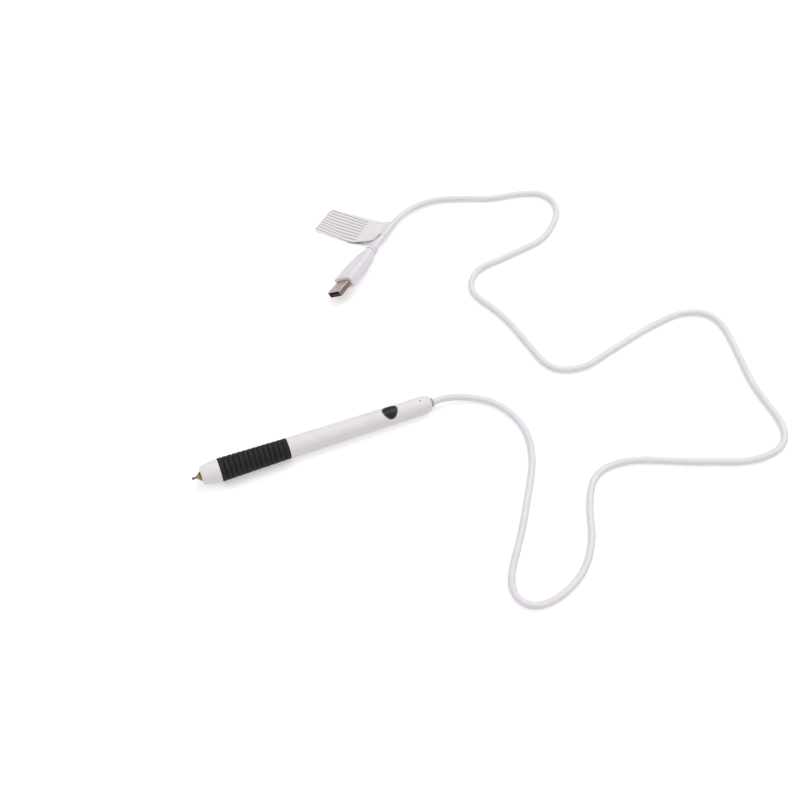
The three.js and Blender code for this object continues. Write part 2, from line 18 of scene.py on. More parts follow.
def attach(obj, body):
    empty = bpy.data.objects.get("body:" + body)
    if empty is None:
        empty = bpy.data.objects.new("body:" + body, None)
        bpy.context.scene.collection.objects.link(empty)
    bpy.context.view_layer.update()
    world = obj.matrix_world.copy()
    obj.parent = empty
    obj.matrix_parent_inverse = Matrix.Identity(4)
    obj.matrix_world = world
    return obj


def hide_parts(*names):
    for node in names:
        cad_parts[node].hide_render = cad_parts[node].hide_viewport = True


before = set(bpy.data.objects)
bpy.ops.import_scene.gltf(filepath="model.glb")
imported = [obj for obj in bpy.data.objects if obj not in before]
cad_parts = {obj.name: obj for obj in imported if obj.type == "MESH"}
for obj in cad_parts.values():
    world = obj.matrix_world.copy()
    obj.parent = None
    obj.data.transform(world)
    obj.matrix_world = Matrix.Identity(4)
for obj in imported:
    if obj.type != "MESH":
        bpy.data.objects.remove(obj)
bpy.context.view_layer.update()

log = logging.getLogger("foil_pen")

Array = np.ndarray
Color = tuple[float, float, float]
Point = tuple[float, float, float]

METRES = 0.001

# Degrees from which an edge shows as sharp, and the steps in a mm on which points are joined
CREASE = 32.0
MERGE_STEPS = 1e5

# Least values, which keep a division from failing or widen a comparison
CLOSE = 1e-9
TINY = 1e-12
LEAST_SWEEP = 1e-6

# What two classes share: mm in a unit of the film's map, and the grip's first rib and its pitch
MAP_UNIT = 10.0
RIB_START = 17.9
RIB_PITCH = 3.18
CONTACTS = tuple(f"usb_contact_{n}" for n in range(1, 5))


class Body(Enum):
    """The CAD bodies that a piece can ride on."""

    PEN = "pen"
    WASHER = "washer"
    TIP = "tip"


# Places and numbers


@dataclass(frozen=True)
class Placement:
    """Where a sub-assembly's own frame lies in the part's frame.

    Attributes:
        name: Short name, used in the names of materials.
        origin: The sub-assembly's origin, in mm.
        turn: Roll, pitch and yaw in degrees, turned about X, then Y, then Z.
    """

    name: str
    origin: Point = (0.0, 0.0, 0.0)
    turn: Point = (0.0, 0.0, 0.0)

    @property
    def matrix(self) -> Array:
        """The turn as a 3 by 3 matrix whose columns are the sub-assembly's axes."""
        return np.array(Euler(np.radians(self.turn).tolist(), "XYZ").to_matrix())

    def put(self, points: Array) -> Array:
        """Carries points of the sub-assembly into the part's frame: matrix times point plus origin."""
        return points @ self.matrix.T + np.array(self.origin)

    def local(self, points: Array) -> Array:
        """Carries points of the part's frame into the sub-assembly, the reverse of put."""
        return (points - np.array(self.origin)) @ self.matrix


def unit(vectors: Array) -> Array:
    """Vectors divided by their lengths."""
    return vectors / np.maximum(np.linalg.norm(vectors, axis=-1, keepdims=True), TINY)


def ease(share: Array) -> Array:
    """A soft step: 3t² − 2t³, level at 0 and at 1."""
    t = np.clip(share, 0.0, 1.0)
    return t * t * (3.0 - 2.0 * t)


def faired(line: Array, spread: float, hold: float) -> Array:
    """Evens out how a line bends, with both of its ends held.

    The evenly spaced line is blurred along itself as 2G − G², with G a Gaussian, which keeps its
    wide bends and takes out short ones. Beyond each end the line goes on as its own half turn round
    the end point.

    Args:
        line: The line's points.
        spread: The Gaussian's spread, in points.
        hold: How many points at each end stay as they were.

    Returns:
        The line's points, as many as before.
    """
    reach = int(4 * spread)
    bell = np.exp(-0.5 * (np.arange(-reach, reach + 1) / spread) ** 2)
    weight = bell / bell.sum()

    def blur(points: Array) -> Array:
        """Each point as the weighted mean of those around it.

        Args:
            points: The points to blur.

        Returns:
            As many points.
        """
        before = 2 * points[:1] - points[reach:0:-1]
        after = 2 * points[-1:] - points[-2 : -reach - 2 : -1]
        padded = np.concatenate([before, points, after])
        return np.stack([np.convolve(axis, weight, "valid") for axis in padded.T], -1)

    once = blur(line)
    count = np.arange(len(line))
    share = ease((np.minimum(count, count[::-1]) - hold) / (2.0 * spread))
    return line + (2 * once - blur(once) - line) * share[:, None]


def softened(corners: list[tuple[float, float]], radii: list[float], steps: int = 6) -> Array:
    """Rounds the corners of a polyline.

    Each inner corner becomes an arc whose centre lies on the corner's bisector at radius / sin(half
    angle), and whose points turn evenly from one leg's touching point to the other's.

    Args:
        corners: The polyline's points.
        radii: One radius for each inner corner, 0 for a sharp one.
        steps: Points on each arc.

    Returns:
        The rounded polyline, with the first and last points kept.
    """
    line = np.array(corners, float)
    radius = np.array(radii, float)[:, None]
    at = line[1:-1]
    back, ahead = unit(line[:-2] - at), unit(line[2:] - at)
    half = np.arccos(np.clip((back * ahead).sum(-1, keepdims=True), -1.0, 1.0)) / 2.0
    centre = at + unit(back + ahead) * radius / np.sin(half)
    reach = radius / np.tan(half)
    start, end = (at + back * reach - centre)[:, None], (at + ahead * reach - centre)[:, None]
    sweep = np.maximum(np.pi - 2.0 * half, LEAST_SWEEP)[:, None]
    t = np.linspace(0.0, 1.0, steps)[None, :, None]
    arc = centre[:, None] + (np.sin((1.0 - t) * sweep) * start + np.sin(t * sweep) * end) / np.sin(sweep)
    return np.concatenate([line[:1], arc.reshape(-1, 2), line[-1:]])


# Meshes


def grid_faces(rows: int, columns: int) -> Array:
    """Four corners for every cell of a grid, in the order that faces outwards on a turned outline."""
    index = np.arange(rows * columns).reshape(rows, columns)
    return np.stack([index[:-1, :-1], index[:-1, 1:], index[1:, 1:], index[1:, :-1]], -1)


def build_mesh(
    name: str,
    points: Array,
    faces: Array,
    place: Placement,
    uv: Array | None = None,
    crease: float = CREASE,
) -> bpy.types.Object:
    """Makes an object from points and four-cornered faces.

    Points that coincide become one vertex, so seams and poles close; a face that loses corners by
    this becomes a triangle or goes.

    Args:
        name: The object's name.
        points: Points in the sub-assembly's frame, in mm, as (count, 3).
        faces: Indices of each face's corners, as (count, 4).
        place: Where the sub-assembly is.
        uv: A map coordinate for each point, if the finish follows the surface.
        crease: Angle in degrees from which an edge shows as sharp.

    Returns:
        The new object, linked to the scene.
    """
    keys = np.round(points * MERGE_STEPS).astype(np.int64)
    _, first, joined = np.unique(keys, axis=0, return_index=True, return_inverse=True)
    corners = joined.reshape(-1)[faces]
    distinct = corners != np.roll(corners, -1, axis=1)
    real = distinct.sum(1) > 2
    corners, distinct, faces = corners[real], distinct[real], faces[real]
    sizes = distinct.sum(1)

    mesh = bpy.data.meshes.new(name)
    mesh.vertices.add(len(first))
    mesh.vertices.foreach_set("co", (place.put(points[first]) * METRES).astype(np.float32).ravel())
    mesh.loops.add(int(sizes.sum()))
    mesh.loops.foreach_set("vertex_index", corners[distinct].astype(np.int32))
    mesh.polygons.add(len(sizes))
    mesh.polygons.foreach_set("loop_start", np.concatenate([[0], np.cumsum(sizes)[:-1]]).astype(np.int32))
    if uv is not None:
        layer = mesh.uv_layers.new(name="surface")
        layer.uv.foreach_set("vector", uv[faces[distinct]].astype(np.float32).ravel())
    mesh.update(calc_edges=True)
    mesh.validate()
    mesh.shade_smooth()
    mesh.set_sharp_from_angle(angle=np.radians(crease))
    made = bpy.data.objects.new(name, mesh)
    bpy.context.scene.collection.objects.link(made)
    log.info("%s: %d vertices, %d faces", name, len(mesh.vertices), len(mesh.polygons))
    return made


def skin(
    name: str, grid: Array, place: Placement, uv: Array | None = None, crease: float = CREASE
) -> bpy.types.Object:
    """Makes an object from one grid of points, (rows, columns, 3), that closes on itself.

    Args:
        name: The object's name.
        grid: Its points, with seams and ends that coincide.
        place: Where the sub-assembly is.
        uv: A map coordinate for each point, if the finish follows the surface.
        crease: Angle in degrees from which an edge shows as sharp.

    Returns:
        The new object.
    """
    rows, columns = grid.shape[:2]
    faces = grid_faces(rows, columns).reshape(-1, 4)
    flat_uv = None if uv is None else uv.reshape(-1, 2)
    return build_mesh(name, grid.reshape(-1, 3), faces, place, flat_uv, crease)


def walled(
    name: str, outer: Array, inner: Array, solid: Array, place: Placement, crease: float = CREASE
) -> bpy.types.Object:
    """Makes a wall between two grids that go round, with openings where cells aren't solid.

    A solid cell has a face on the outer grid and one on the inner grid. Wherever a solid cell meets
    an open one, or the grid's first or last row, a strip joins the two grids.

    Args:
        name: The object's name.
        outer: Outer points, (rows, columns, 3), with the last column equal to the first.
        inner: Inner points on the same rows and columns.
        solid: True for each cell that has material, (rows − 1, columns − 1).
        place: Where the sub-assembly is.
        crease: Angle in degrees from which an edge shows as sharp.

    Returns:
        The new object.
    """
    rows, columns = outer.shape[:2]
    o = np.arange(rows * columns).reshape(rows, columns)
    i = o + rows * columns
    cells = grid_faces(rows, columns)
    shell = [cells[solid], (cells[:, :, ::-1] + rows * columns)[solid]]

    tall = np.pad(solid, ((1, 1), (0, 0)))
    starts, stops = tall[1:] & ~tall[:-1], tall[:-1] & ~tall[1:]
    level = np.stack([o[:, 1:], o[:, :-1], i[:, :-1], i[:, 1:]], -1)
    before = np.roll(solid, 1, axis=1)
    opens, shuts = solid & ~before, before & ~solid
    side = np.stack([o[:-1, :-1], o[1:, :-1], i[1:, :-1], i[:-1, :-1]], -1)
    walls = [level[starts], level[stops][:, ::-1], side[opens], side[shuts][:, ::-1]]
    points = np.concatenate([outer.reshape(-1, 3), inner.reshape(-1, 3)])
    return build_mesh(name, points, np.concatenate(shell + walls), place, crease=crease)


def turned(outline: Array, angles: Array) -> Array:
    """Carries an outline round the X axis: (station, radius · cos angle, radius · sin angle).

    Args:
        outline: Stations and radii, (count, 2).
        angles: Angles round the axis, the last at the same place as the first.

    Returns:
        Points, (count, angles, 3).
    """
    ring = np.stack([np.cos(angles), np.sin(angles)], -1)
    ring[-1] = ring[0]
    across = outline[:, 1][:, None, None] * ring
    along = np.broadcast_to(outline[:, 0][:, None, None], across.shape[:2] + (1,))
    return np.concatenate([along, across], -1)


def full_turn(sides: int) -> Array:
    """Evenly spaced angles once round, first and last the same place."""
    return np.linspace(0.0, 2.0 * np.pi, sides + 1)


@dataclass(frozen=True)
class BoxSection:
    """Points round a box section with rounded corners, as shares that any size can use.

    A point is share · (half size − corner) + direction · corner, where share runs from −1 to 1 along
    a flat side and direction turns through each corner.

    Attributes:
        broad: Shares at which the broad sides have points.
        narrow: Shares at which the narrow sides have points.
        arc_steps: Points on each corner.
    """

    broad: tuple[float, ...]
    narrow: tuple[float, ...]
    arc_steps: int

    def shares(self) -> tuple[Array, Array, Array]:
        """The points' shares, their directions, and how far along its flat side each one is.

        Returns:
            Three arrays with one row for each point, the last equal to the first.
        """
        broad, narrow = np.array(self.broad), np.array(self.narrow)
        outwards = np.array([(1, 0), (0, 1), (-1, 0), (0, -1)], float)
        corners = np.array([(1, 1), (-1, 1), (-1, -1), (1, -1)], float)
        share, direction, along = [], [], []
        for quarter, flat in enumerate((narrow, -broad, -narrow, broad)):
            outward, corner = outwards[quarter], corners[quarter]
            column = np.ones((len(flat), 1))
            angle = np.linspace(0.0, np.pi / 2.0, self.arc_steps) + quarter * np.pi / 2.0
            turning = np.stack([np.cos(angle), np.sin(angle)], -1)
            share += [outward * column + np.abs(outward[::-1]) * flat[:, None], corner + 0.0 * turning]
            direction += [outward * column, turning]
            along += [flat, np.ones(self.arc_steps)]
        parts = [np.concatenate(x) for x in (share, direction, along)]
        share_all, direction_all, along_all = (np.concatenate([p, p[:1]]) for p in parts)
        return share_all, direction_all, along_all

    def rings(
        self, station: Array, width: Array, height: Array, corner: Array, crown: Array | float = 0.0
    ) -> Array:
        """Rings at stations along X.

        Args:
            station: Where each ring is.
            width: Size of each ring along Y.
            height: Size of each ring along Z.
            corner: Corner radius of each ring.
            crown: How far the middle of a flat side stands out: crown · (1 − along²).

        Returns:
            Points as (rings, points round, 3).
        """
        share, direction, along = self.shares()
        half = np.stack([width, height], -1) / 2.0
        inset = (half - corner[:, None])[:, None, :]
        bulge = corner[:, None] + np.broadcast_to(crown, station.shape)[:, None] * (1.0 - along**2)
        across = inset * share + bulge[..., None] * direction
        first = np.broadcast_to(station[:, None, None], across.shape[:2] + (1,))
        return np.concatenate([first, across], -1)


def smooth_curve(points: Array, per_span: int = 48) -> Array:
    """A centripetal Catmull-Rom curve through points.

    Each span is a cubic whose end slopes come from the neighbouring points, weighted by the square
    root of the distances; beyond each end the first or last span is mirrored.

    Args:
        points: Points that the curve passes through, (count, 3).
        per_span: Points on each span.

    Returns:
        The curve's points.
    """
    line = np.concatenate([2 * points[:1] - points[1:2], points, 2 * points[-1:] - points[-2:-1]])
    a, b, c, d = line[:-3], line[1:-2], line[2:-1], line[3:]
    step = [np.sqrt(np.linalg.norm(q - p, axis=1, keepdims=True)) for p, q in ((a, b), (b, c), (c, d))]
    slope_b = ((b - a) / step[0] - (c - a) / (step[0] + step[1]) + (c - b) / step[1]) * step[1]
    slope_c = ((c - b) / step[1] - (d - b) / (step[1] + step[2]) + (d - c) / step[2]) * step[1]
    t = np.linspace(0.0, 1.0, per_span, endpoint=False)[None, :, None]
    b, c, slope_b, slope_c = (x[:, None] for x in (b, c, slope_b, slope_c))
    cubic = (
        b
        + slope_b * t
        + (3 * c - 3 * b - 2 * slope_b - slope_c) * t**2
        + (2 * b - 2 * c + slope_b + slope_c) * t**3
    )
    return np.concatenate([cubic.reshape(-1, 3), points[-1:]])


def evenly(line: Array, step: float) -> Array:
    """The line again, with points about step apart along it.

    Args:
        line: The line's points, (count, 3).
        step: The distance between points.

    Returns:
        The new points.
    """
    far = np.concatenate([[0.0], np.cumsum(np.linalg.norm(np.diff(line, axis=0), axis=1))])
    at = np.linspace(0.0, far[-1], int(round(far[-1] / step)) + 1)
    return np.stack([np.interp(at, far, line[:, k]) for k in range(3)], -1)


# Shader groups and finishes

Socket = bpy.types.NodeSocket
Value = float | int | tuple | Socket


class Tree:
    """A node tree that is filled one node at a time."""

    def __init__(self, tree: bpy.types.NodeTree) -> None:
        """Starts with an empty tree."""
        self.tree = tree
        tree.nodes.clear()

    def fill(self, node: bpy.types.Node, inputs: dict[str | int, Value]) -> bpy.types.Node:
        """Links or sets a node's inputs by name or number, and returns the node."""
        for key, value in inputs.items():
            if isinstance(value, bpy.types.NodeSocket):
                self.tree.links.new(value, node.inputs[key])
            else:
                node.inputs[key].default_value = value
        return node

    def add(
        self, kind: str, inputs: dict[str | int, Value] | None = None, **settings: object
    ) -> bpy.types.Node:
        """Adds a node.

        Args:
            kind: The node's type, without its "ShaderNode" prefix unless it has another.
            inputs: A value or a socket to link, for each input by name or number.
            settings: The node's own properties.

        Returns:
            The node.
        """
        node = self.tree.nodes.new(kind if kind.startswith("Node") else f"ShaderNode{kind}")
        for key, value in settings.items():
            setattr(node, key, value)
        return self.fill(node, inputs or {})

    def math(self, operation: str, *values: Value, clamp: bool = False) -> Socket:
        """The result of a Math node on up to three values."""
        node = self.add("Math", dict(enumerate(values)), operation=operation, use_clamp=clamp)
        return node.outputs[0]

    def step(
        self, value: Value, low: Value, high: Value, to_low: Value = 0.0, to_high: Value = 1.0
    ) -> Socket:
        """A soft step of the value: to_low up to low, to_high from high on."""
        inputs = {"Value": value, "From Min": low, "From Max": high, "To Min": to_low, "To Max": to_high}
        return self.add("MapRange", inputs, interpolation_type="SMOOTHSTEP").outputs[0]

    def blend(self, share: Value, first: Value, second: Value) -> Socket:
        """A colour between two colours."""
        pair = {0: share, 6: first, 7: second}
        return self.add("Mix", pair, data_type="RGBA").outputs[2]

    def noise(self, vector: Value, scale: Value, detail: float = 3.0, roughness: float = 0.55) -> Socket:
        """Smooth noise from 0 to 1."""
        inputs = {"Vector": vector, "Scale": scale, "Detail": detail, "Roughness": roughness}
        return self.add("TexNoise", inputs).outputs["Fac"]

    def split(self, vector: Value) -> list[Socket]:
        """The three parts of a vector."""
        return list(self.add("SeparateXYZ", {0: vector}).outputs)

    def use(self, group: bpy.types.NodeTree, inputs: dict[str, Value]) -> bpy.types.Node:
        """Places a shared group with its own values.

        Args:
            group: The shared group.
            inputs: A value or a socket to link, for each input by name.

        Returns:
            The group's node.
        """
        node = self.tree.nodes.new("ShaderNodeGroup")
        node.node_tree = group
        return self.fill(node, inputs)


def new_group(name: str, inputs: dict[str, str], outputs: dict[str, str]) -> tuple[Tree, dict, Callable]:
    """Starts a shared node group.

    Args:
        name: The group's name.
        inputs: Kind of each input socket by name, such as "Float", "Vector" or "Color".
        outputs: Kind of each output socket by name.

    Returns:
        The empty tree, its input sockets by name, and a function that links the outputs by name.
    """
    group = bpy.data.node_groups.new(name, "ShaderNodeTree")
    for way, sockets in (("INPUT", inputs), ("OUTPUT", outputs)):
        for socket, kind in sockets.items():
            group.interface.new_socket(socket, in_out=way, socket_type=f"NodeSocket{kind}")
    tree = Tree(group)
    given = tree.add("NodeGroupInput").outputs
    result = tree.add("NodeGroupOutput")

    def give(**values: Socket) -> bpy.types.NodeTree:
        """Links the group's outputs and returns the group."""
        for key, value in values.items():
            group.links.new(value, result.inputs[key])
        return group

    return tree, {socket: given[socket] for socket in inputs}, give


@functools.cache
def mottle_group() -> bpy.types.NodeTree:
    """Soft patches that drift from one colour to another, as handling and ageing leave them.

    Returns:
        The group; its mask is 1 where the shade is full.
    """
    least, full = 0.34, 0.68
    inputs = {"Vector": "Vector", "Patch": "Float", "Tint": "Color", "Shade": "Color"}
    tree, given, give = new_group("mottle", inputs, {"Color": "Color", "Mask": "Float"})
    scale = tree.math("DIVIDE", 1.0, given["Patch"])
    mask = tree.step(tree.noise(given["Vector"], scale, detail=4.0), least, full)
    return give(Color=tree.blend(mask, given["Tint"], given["Shade"]), Mask=mask)


@functools.cache
def grain_group() -> bpy.types.NodeTree:
    """The fine relief of a moulded or coated surface, from two sizes of noise, in mm.

    Returns:
        The group.
    """
    finer, fainter = 2.7, 0.4
    inputs = {"Vector": "Vector", "Size": "Float", "Depth": "Float"}
    tree, given, give = new_group("grain", inputs, {"Height": "Float"})
    scale = tree.math("DIVIDE", 1.0, given["Size"])
    coarse = tree.noise(given["Vector"], scale, detail=2.0)
    fine = tree.noise(given["Vector"], tree.math("MULTIPLY", scale, finer), detail=1.0)
    both = tree.math("MULTIPLY_ADD", fine, fainter, coarse)
    return give(Height=tree.math("MULTIPLY", both, given["Depth"]))


@functools.cache
def scuff_group() -> bpy.types.NodeTree:
    """Short rubbed streaks along X, with a second set across them, as a mask.

    Returns:
        The group.
    """
    along, over = (0.12, 1.0, 1.0), (1.0, 0.2, 0.35)
    least, full, finer = 0.62, 0.7, 4.0
    inputs = {"Vector": "Vector", "Length": "Float", "Amount": "Float"}
    tree, given, give = new_group("scuffs", inputs, {"Mask": "Float"})
    scale = tree.math("DIVIDE", finer, given["Length"])
    streaks = []
    for stretch in (along, over):
        drawn = tree.add("VectorMath", {0: given["Vector"], 1: stretch}, operation="MULTIPLY")
        streaks.append(tree.step(tree.noise(drawn.outputs[0], scale, detail=5.0), least, full))
    either = tree.math("MAXIMUM", *streaks)
    return give(Mask=tree.math("MULTIPLY", either, given["Amount"]))


@functools.cache
def line_group() -> bpy.types.NodeTree:
    """Fine lines that a tool leaves: noise that changes along one direction only, in mm.

    Returns:
        The group.
    """
    inputs = {"Vector": "Vector", "Stretch": "Vector", "Pitch": "Float", "Depth": "Float"}
    tree, given, give = new_group("tool_lines", inputs, {"Height": "Float"})
    drawn = tree.add("VectorMath", {0: given["Vector"], 1: given["Stretch"]}, operation="MULTIPLY")
    scale = tree.math("DIVIDE", 1.0, given["Pitch"])
    lines = tree.noise(drawn.outputs[0], scale, detail=3.0, roughness=0.7)
    return give(Height=tree.math("MULTIPLY", lines, given["Depth"]))


@dataclass
class Layers:
    """What a finish has painted so far.

    Attributes:
        color: Socket of the colour.
        roughness: Socket of the roughness.
        height: Socket of the relief, in mm.
    """

    color: Socket
    roughness: Socket
    height: Socket


@dataclass(frozen=True)
class Finish:
    """A surface finish, as its shader's constants and the patches, grain and scuffs that vary it.

    Attributes:
        slot: The record's material slot.
        tint: The main colour, linear.
        shade: The colour that patches drift to.
        patch: Size of the patches.
        gloss: Roughness where it is smoothest and where it is roughest.
        grain: Size and depth of the grain.
        scuffed: How far scuffs roughen the surface.
        metallic: Metallic share.
        specular: Strength of the plain reflection.
        coat: Weight of a clear coat.
    """

    slot: str
    tint: Color
    shade: Color
    patch: float = 9.0
    gloss: tuple[float, float] = (0.3, 0.42)
    grain: tuple[float, float] = (0.35, 0.004)
    scuffed: float = 0.12
    metallic: float = 0.0
    specular: float = 0.5
    coat: float = 0.0

    def paint(self, tree: Tree, at: Socket) -> Layers:
        """Paints the patches, scuffs and grain that every finish has.

        Args:
            tree: The material's node tree.
            at: Place on the piece in the sub-assembly's frame, in mm.

        Returns:
            The layers, for a finish of its own to add to.
        """
        patches = tree.use(
            mottle_group(),
            {"Vector": at, "Patch": self.patch, "Tint": (*self.tint, 1.0), "Shade": (*self.shade, 1.0)},
        )
        scuffs = tree.use(scuff_group(), {"Vector": at, "Length": 5.0, "Amount": self.scuffed})
        low, high = self.gloss
        worn = tree.math("MULTIPLY_ADD", patches.outputs["Mask"], high - low, low)
        rough = tree.math("ADD", worn, scuffs.outputs["Mask"], clamp=True)
        size, depth = self.grain
        grain = tree.use(grain_group(), {"Vector": at, "Size": size, "Depth": depth})
        return Layers(patches.outputs["Color"], rough, grain.outputs["Height"])

    @functools.cache
    def material(self, place: Placement) -> bpy.types.Material:
        """Builds the material for pieces of one sub-assembly.

        Args:
            place: Where the sub-assembly is; a Mapping node turns object coordinates back into its frame.

        Returns:
            The material.
        """
        made = bpy.data.materials.new(f"{self.slot}_{place.name}")
        made.use_nodes = True
        tree = Tree(made.node_tree)
        back = place.matrix.T
        mapping = {
            "Vector": tree.add("TexCoord").outputs["Object"],
            "Location": (-back @ np.array(place.origin)).tolist(),
            "Rotation": list(Matrix(back.tolist()).to_euler("XYZ")),
            "Scale": (1.0 / METRES,) * 3,
        }
        layers = self.paint(tree, tree.add("Mapping", mapping).outputs[0])
        bump = tree.add("Bump", {"Height": layers.height, "Distance": METRES, "Strength": 1.0})
        constants = {
            "Metallic": self.metallic,
            "Specular IOR Level": self.specular,
            "Coat Weight": self.coat,
            "Coat Roughness": 0.12,
        }
        varied = {"Base Color": layers.color, "Roughness": layers.roughness, "Normal": bump.outputs[0]}
        shader = tree.add("BsdfPrincipled", constants | varied)
        tree.add("OutputMaterial", {"Surface": shader.outputs[0]})
        return made


@dataclass(frozen=True)
class TooledMetal(Finish):
    """Metal with fine lines: round a turned piece, or lengthwise on rolled sheet.

    Attributes:
        stretch: How quickly the lines change along each axis.
        lines: Pitch and depth of the lines.
        stain: The colour of tarnish between the patches, and its strongest share.
    """

    stretch: Point = (1.0, 0.0, 0.0)
    lines: tuple[float, float] = (0.12, 0.003)
    stain: tuple[Color, float] = ((0.2, 0.12, 0.04), 0.35)

    def paint(self, tree: Tree, at: Socket) -> Layers:
        """Adds the tool's lines and some tarnish to the plain layers.

        Args:
            tree: The material's node tree.
            at: Place on the piece in the sub-assembly's frame, in mm.

        Returns:
            The layers with this added.
        """
        scale, least, full, duller = 0.9, 0.5, 0.72, 0.35
        layers = super().paint(tree, at)
        pitch, depth = self.lines
        inputs = {"Vector": at, "Stretch": self.stretch, "Pitch": pitch, "Depth": depth}
        lines = tree.use(line_group(), inputs).outputs["Height"]
        color, most = self.stain
        cloud = tree.step(tree.noise(at, scale, detail=5.0), least, full, 0.0, most)
        layers.color = tree.blend(cloud, layers.color, (*color, 1.0))
        layers.roughness = tree.math("MULTIPLY_ADD", cloud, duller, layers.roughness)
        layers.height = tree.math("ADD", layers.height, lines)
        return layers


@dataclass(frozen=True)
class ScorchedMetalWithPaintedReflection(TooledMetal):
    """Metal that its own heat has darkened at the tip, and that is darkened again towards the base as a
    painted dark reflection.

    Attributes:
        scorch_and_dark_reflection: Colour of the scorched tip and of the painted dark reflection at the
            base.
        tip: Stations between which the scorch of the tip fades, and its share.
        root: Stations between which the painted dark reflection comes in towards the base, and its share.
    """

    # Colour of the scorched tip, and of the painted dark reflection at the base
    scorch_and_dark_reflection: Color = (0.09, 0.052, 0.032)
    tip: tuple[float, float, float] = (1.5, 3.4, 0.95)
    root: tuple[float, float, float] = (4.0, 5.3, 0.85)

    def paint(self, tree: Tree, at: Socket) -> Layers:
        """Adds the scorch at the tip and the painted dark reflection at the base, by station, broken up by
        noise.

        Args:
            tree: The material's node tree.
            at: Place on the piece in the sub-assembly's frame, in mm.

        Returns:
            The layers with this added.
        """
        scale, least, full, thinnest, duller = 1.3, 0.35, 0.65, 0.55, 0.15
        layers = super().paint(tree, at)
        along = tree.split(at)[0]
        front = tree.step(along, self.tip[0], self.tip[1], self.tip[2], 0.0)
        # Painted reflection: the base is darkened where a dark reflection lies on it
        back = tree.step(along, self.root[0], self.root[1], 0.0, self.root[2])
        uneven = tree.step(tree.noise(at, scale, detail=4.0), least, full, thinnest, 1.0)
        share = tree.math("MULTIPLY", tree.math("MAXIMUM", front, back), uneven)
        layers.color = tree.blend(share, layers.color, (*self.scorch_and_dark_reflection, 1.0))
        layers.roughness = tree.math("MULTIPLY_ADD", share, duller, layers.roughness)
        return layers


@dataclass(frozen=True)
class BadgedPlastic(Finish):
    """Barrel plastic with a plain printed badge: a rounded triangle in black.

    Its edge is at size · (1 + bulge · cos(3 · direction − 3 · lean)) from its middle, in the surface.

    Attributes:
        ink: Colour of the print.
        middle: Station of the badge's middle and its place round the barrel from the top, in mm.
        radius: The barrel's radius there.
        size: Mean reach of the badge.
        bulge: How far its three corners stand out.
        lean: Direction of one corner, in degrees.
        rim: Width of the thin pale ring inside the badge's edge, and its inset.
        print_edge: How far the print's edge fades.
        ring_share: How pale the ring is.
        glossier: How much smoother the print is than the plastic.
        thick: Thickness of the print.
    """

    ink: Color = (0.005, 0.005, 0.0055)
    middle: tuple[float, float] = (131.1, -0.7)
    radius: float = 6.25
    size: float = 5.2
    bulge: float = 0.07
    lean: float = -90.0
    rim: tuple[float, float] = (0.16, 0.55)
    print_edge: float = 0.06
    ring_share: float = 0.35
    glossier: float = 0.08
    thick: float = 0.012

    def paint(self, tree: Tree, at: Socket) -> Layers:
        """Prints the badge over the plain layers.

        Args:
            tree: The material's node tree.
            at: Place on the piece in the sub-assembly's frame, in mm.

        Returns:
            The layers with this added.
        """
        layers = super().paint(tree, at)
        along, across, up = tree.split(at)
        station, offset = self.middle
        a = tree.math("SUBTRACT", along, station)
        angle = tree.math("ARCTAN2", across, up)
        b = tree.math("MULTIPLY_ADD", angle, self.radius, -offset)
        reach = tree.math("SQRT", tree.math("MULTIPLY_ADD", a, a, tree.math("MULTIPLY", b, b)))
        corners = 3.0
        lean = corners * np.radians(self.lean)
        direction = tree.math("MULTIPLY_ADD", tree.math("ARCTAN2", b, a), corners, -lean)
        edge = tree.math("MULTIPLY_ADD", tree.math("COSINE", direction), self.bulge * self.size, self.size)
        inside = tree.math("SUBTRACT", edge, reach)
        width, inset = self.rim
        ring = tree.math("COMPARE", inside, inset, width / 2.0)
        printed = tree.step(inside, 0.0, self.print_edge)
        pale = tree.math("MULTIPLY", ring, self.ring_share)
        ink = tree.blend(pale, (*self.ink, 1.0), (*self.shade, 1.0))
        layers.color = tree.blend(printed, layers.color, ink)
        layers.roughness = tree.math("MULTIPLY_ADD", printed, -self.glossier, layers.roughness)
        layers.height = tree.math("MULTIPLY_ADD", printed, self.thick, layers.height)
        return layers


@dataclass(frozen=True)
class RubberWithDustAndPaintedShade(Finish):
    """Black rubber with pale dust in patches, held mostly on the rib crests: painted highlight on the
    crests and painted shade in the grooves between the ribs.

    Attributes:
        dust_and_crest_highlight: Colour of the dust and of the painted highlight on the crests.
        most: Largest share of that colour.
    """

    # Pale colour of the dust, and painted highlight on the rib crests
    dust_and_crest_highlight: Color = (0.062, 0.054, 0.052)
    most: float = 0.6

    def paint(self, tree: Tree, at: Socket) -> Layers:
        """Adds dust by how near a groove is, broken up by noise.

        Args:
            tree: The material's node tree.
            at: Place on the piece in the sub-assembly's frame, in mm.

        Returns:
            The layers with this added.
        """
        groove_shade_width, crest_highlight_full, groove_share = 0.12 * RIB_PITCH, 0.5 * RIB_PITCH, 0.1
        scale, least, full = 1.6, 0.42, 0.7
        layers = super().paint(tree, at)
        along = tree.split(at)[0]
        phase = tree.math("PINGPONG", tree.math("SUBTRACT", along, RIB_START), RIB_PITCH / 2.0)
        # Painted shade and highlight: low in the grooves and full on the crests, so the grooves stay darker
        # and the crests paler
        groove = tree.step(phase, groove_shade_width, crest_highlight_full, groove_share, 1.0)
        cloud = tree.step(tree.noise(at, scale, detail=6.0, roughness=0.65), least, full, 0.0, self.most)
        layers.color = tree.blend(tree.math("MULTIPLY", cloud, groove), layers.color, (*self.dust_and_crest_highlight, 1.0))
        return layers


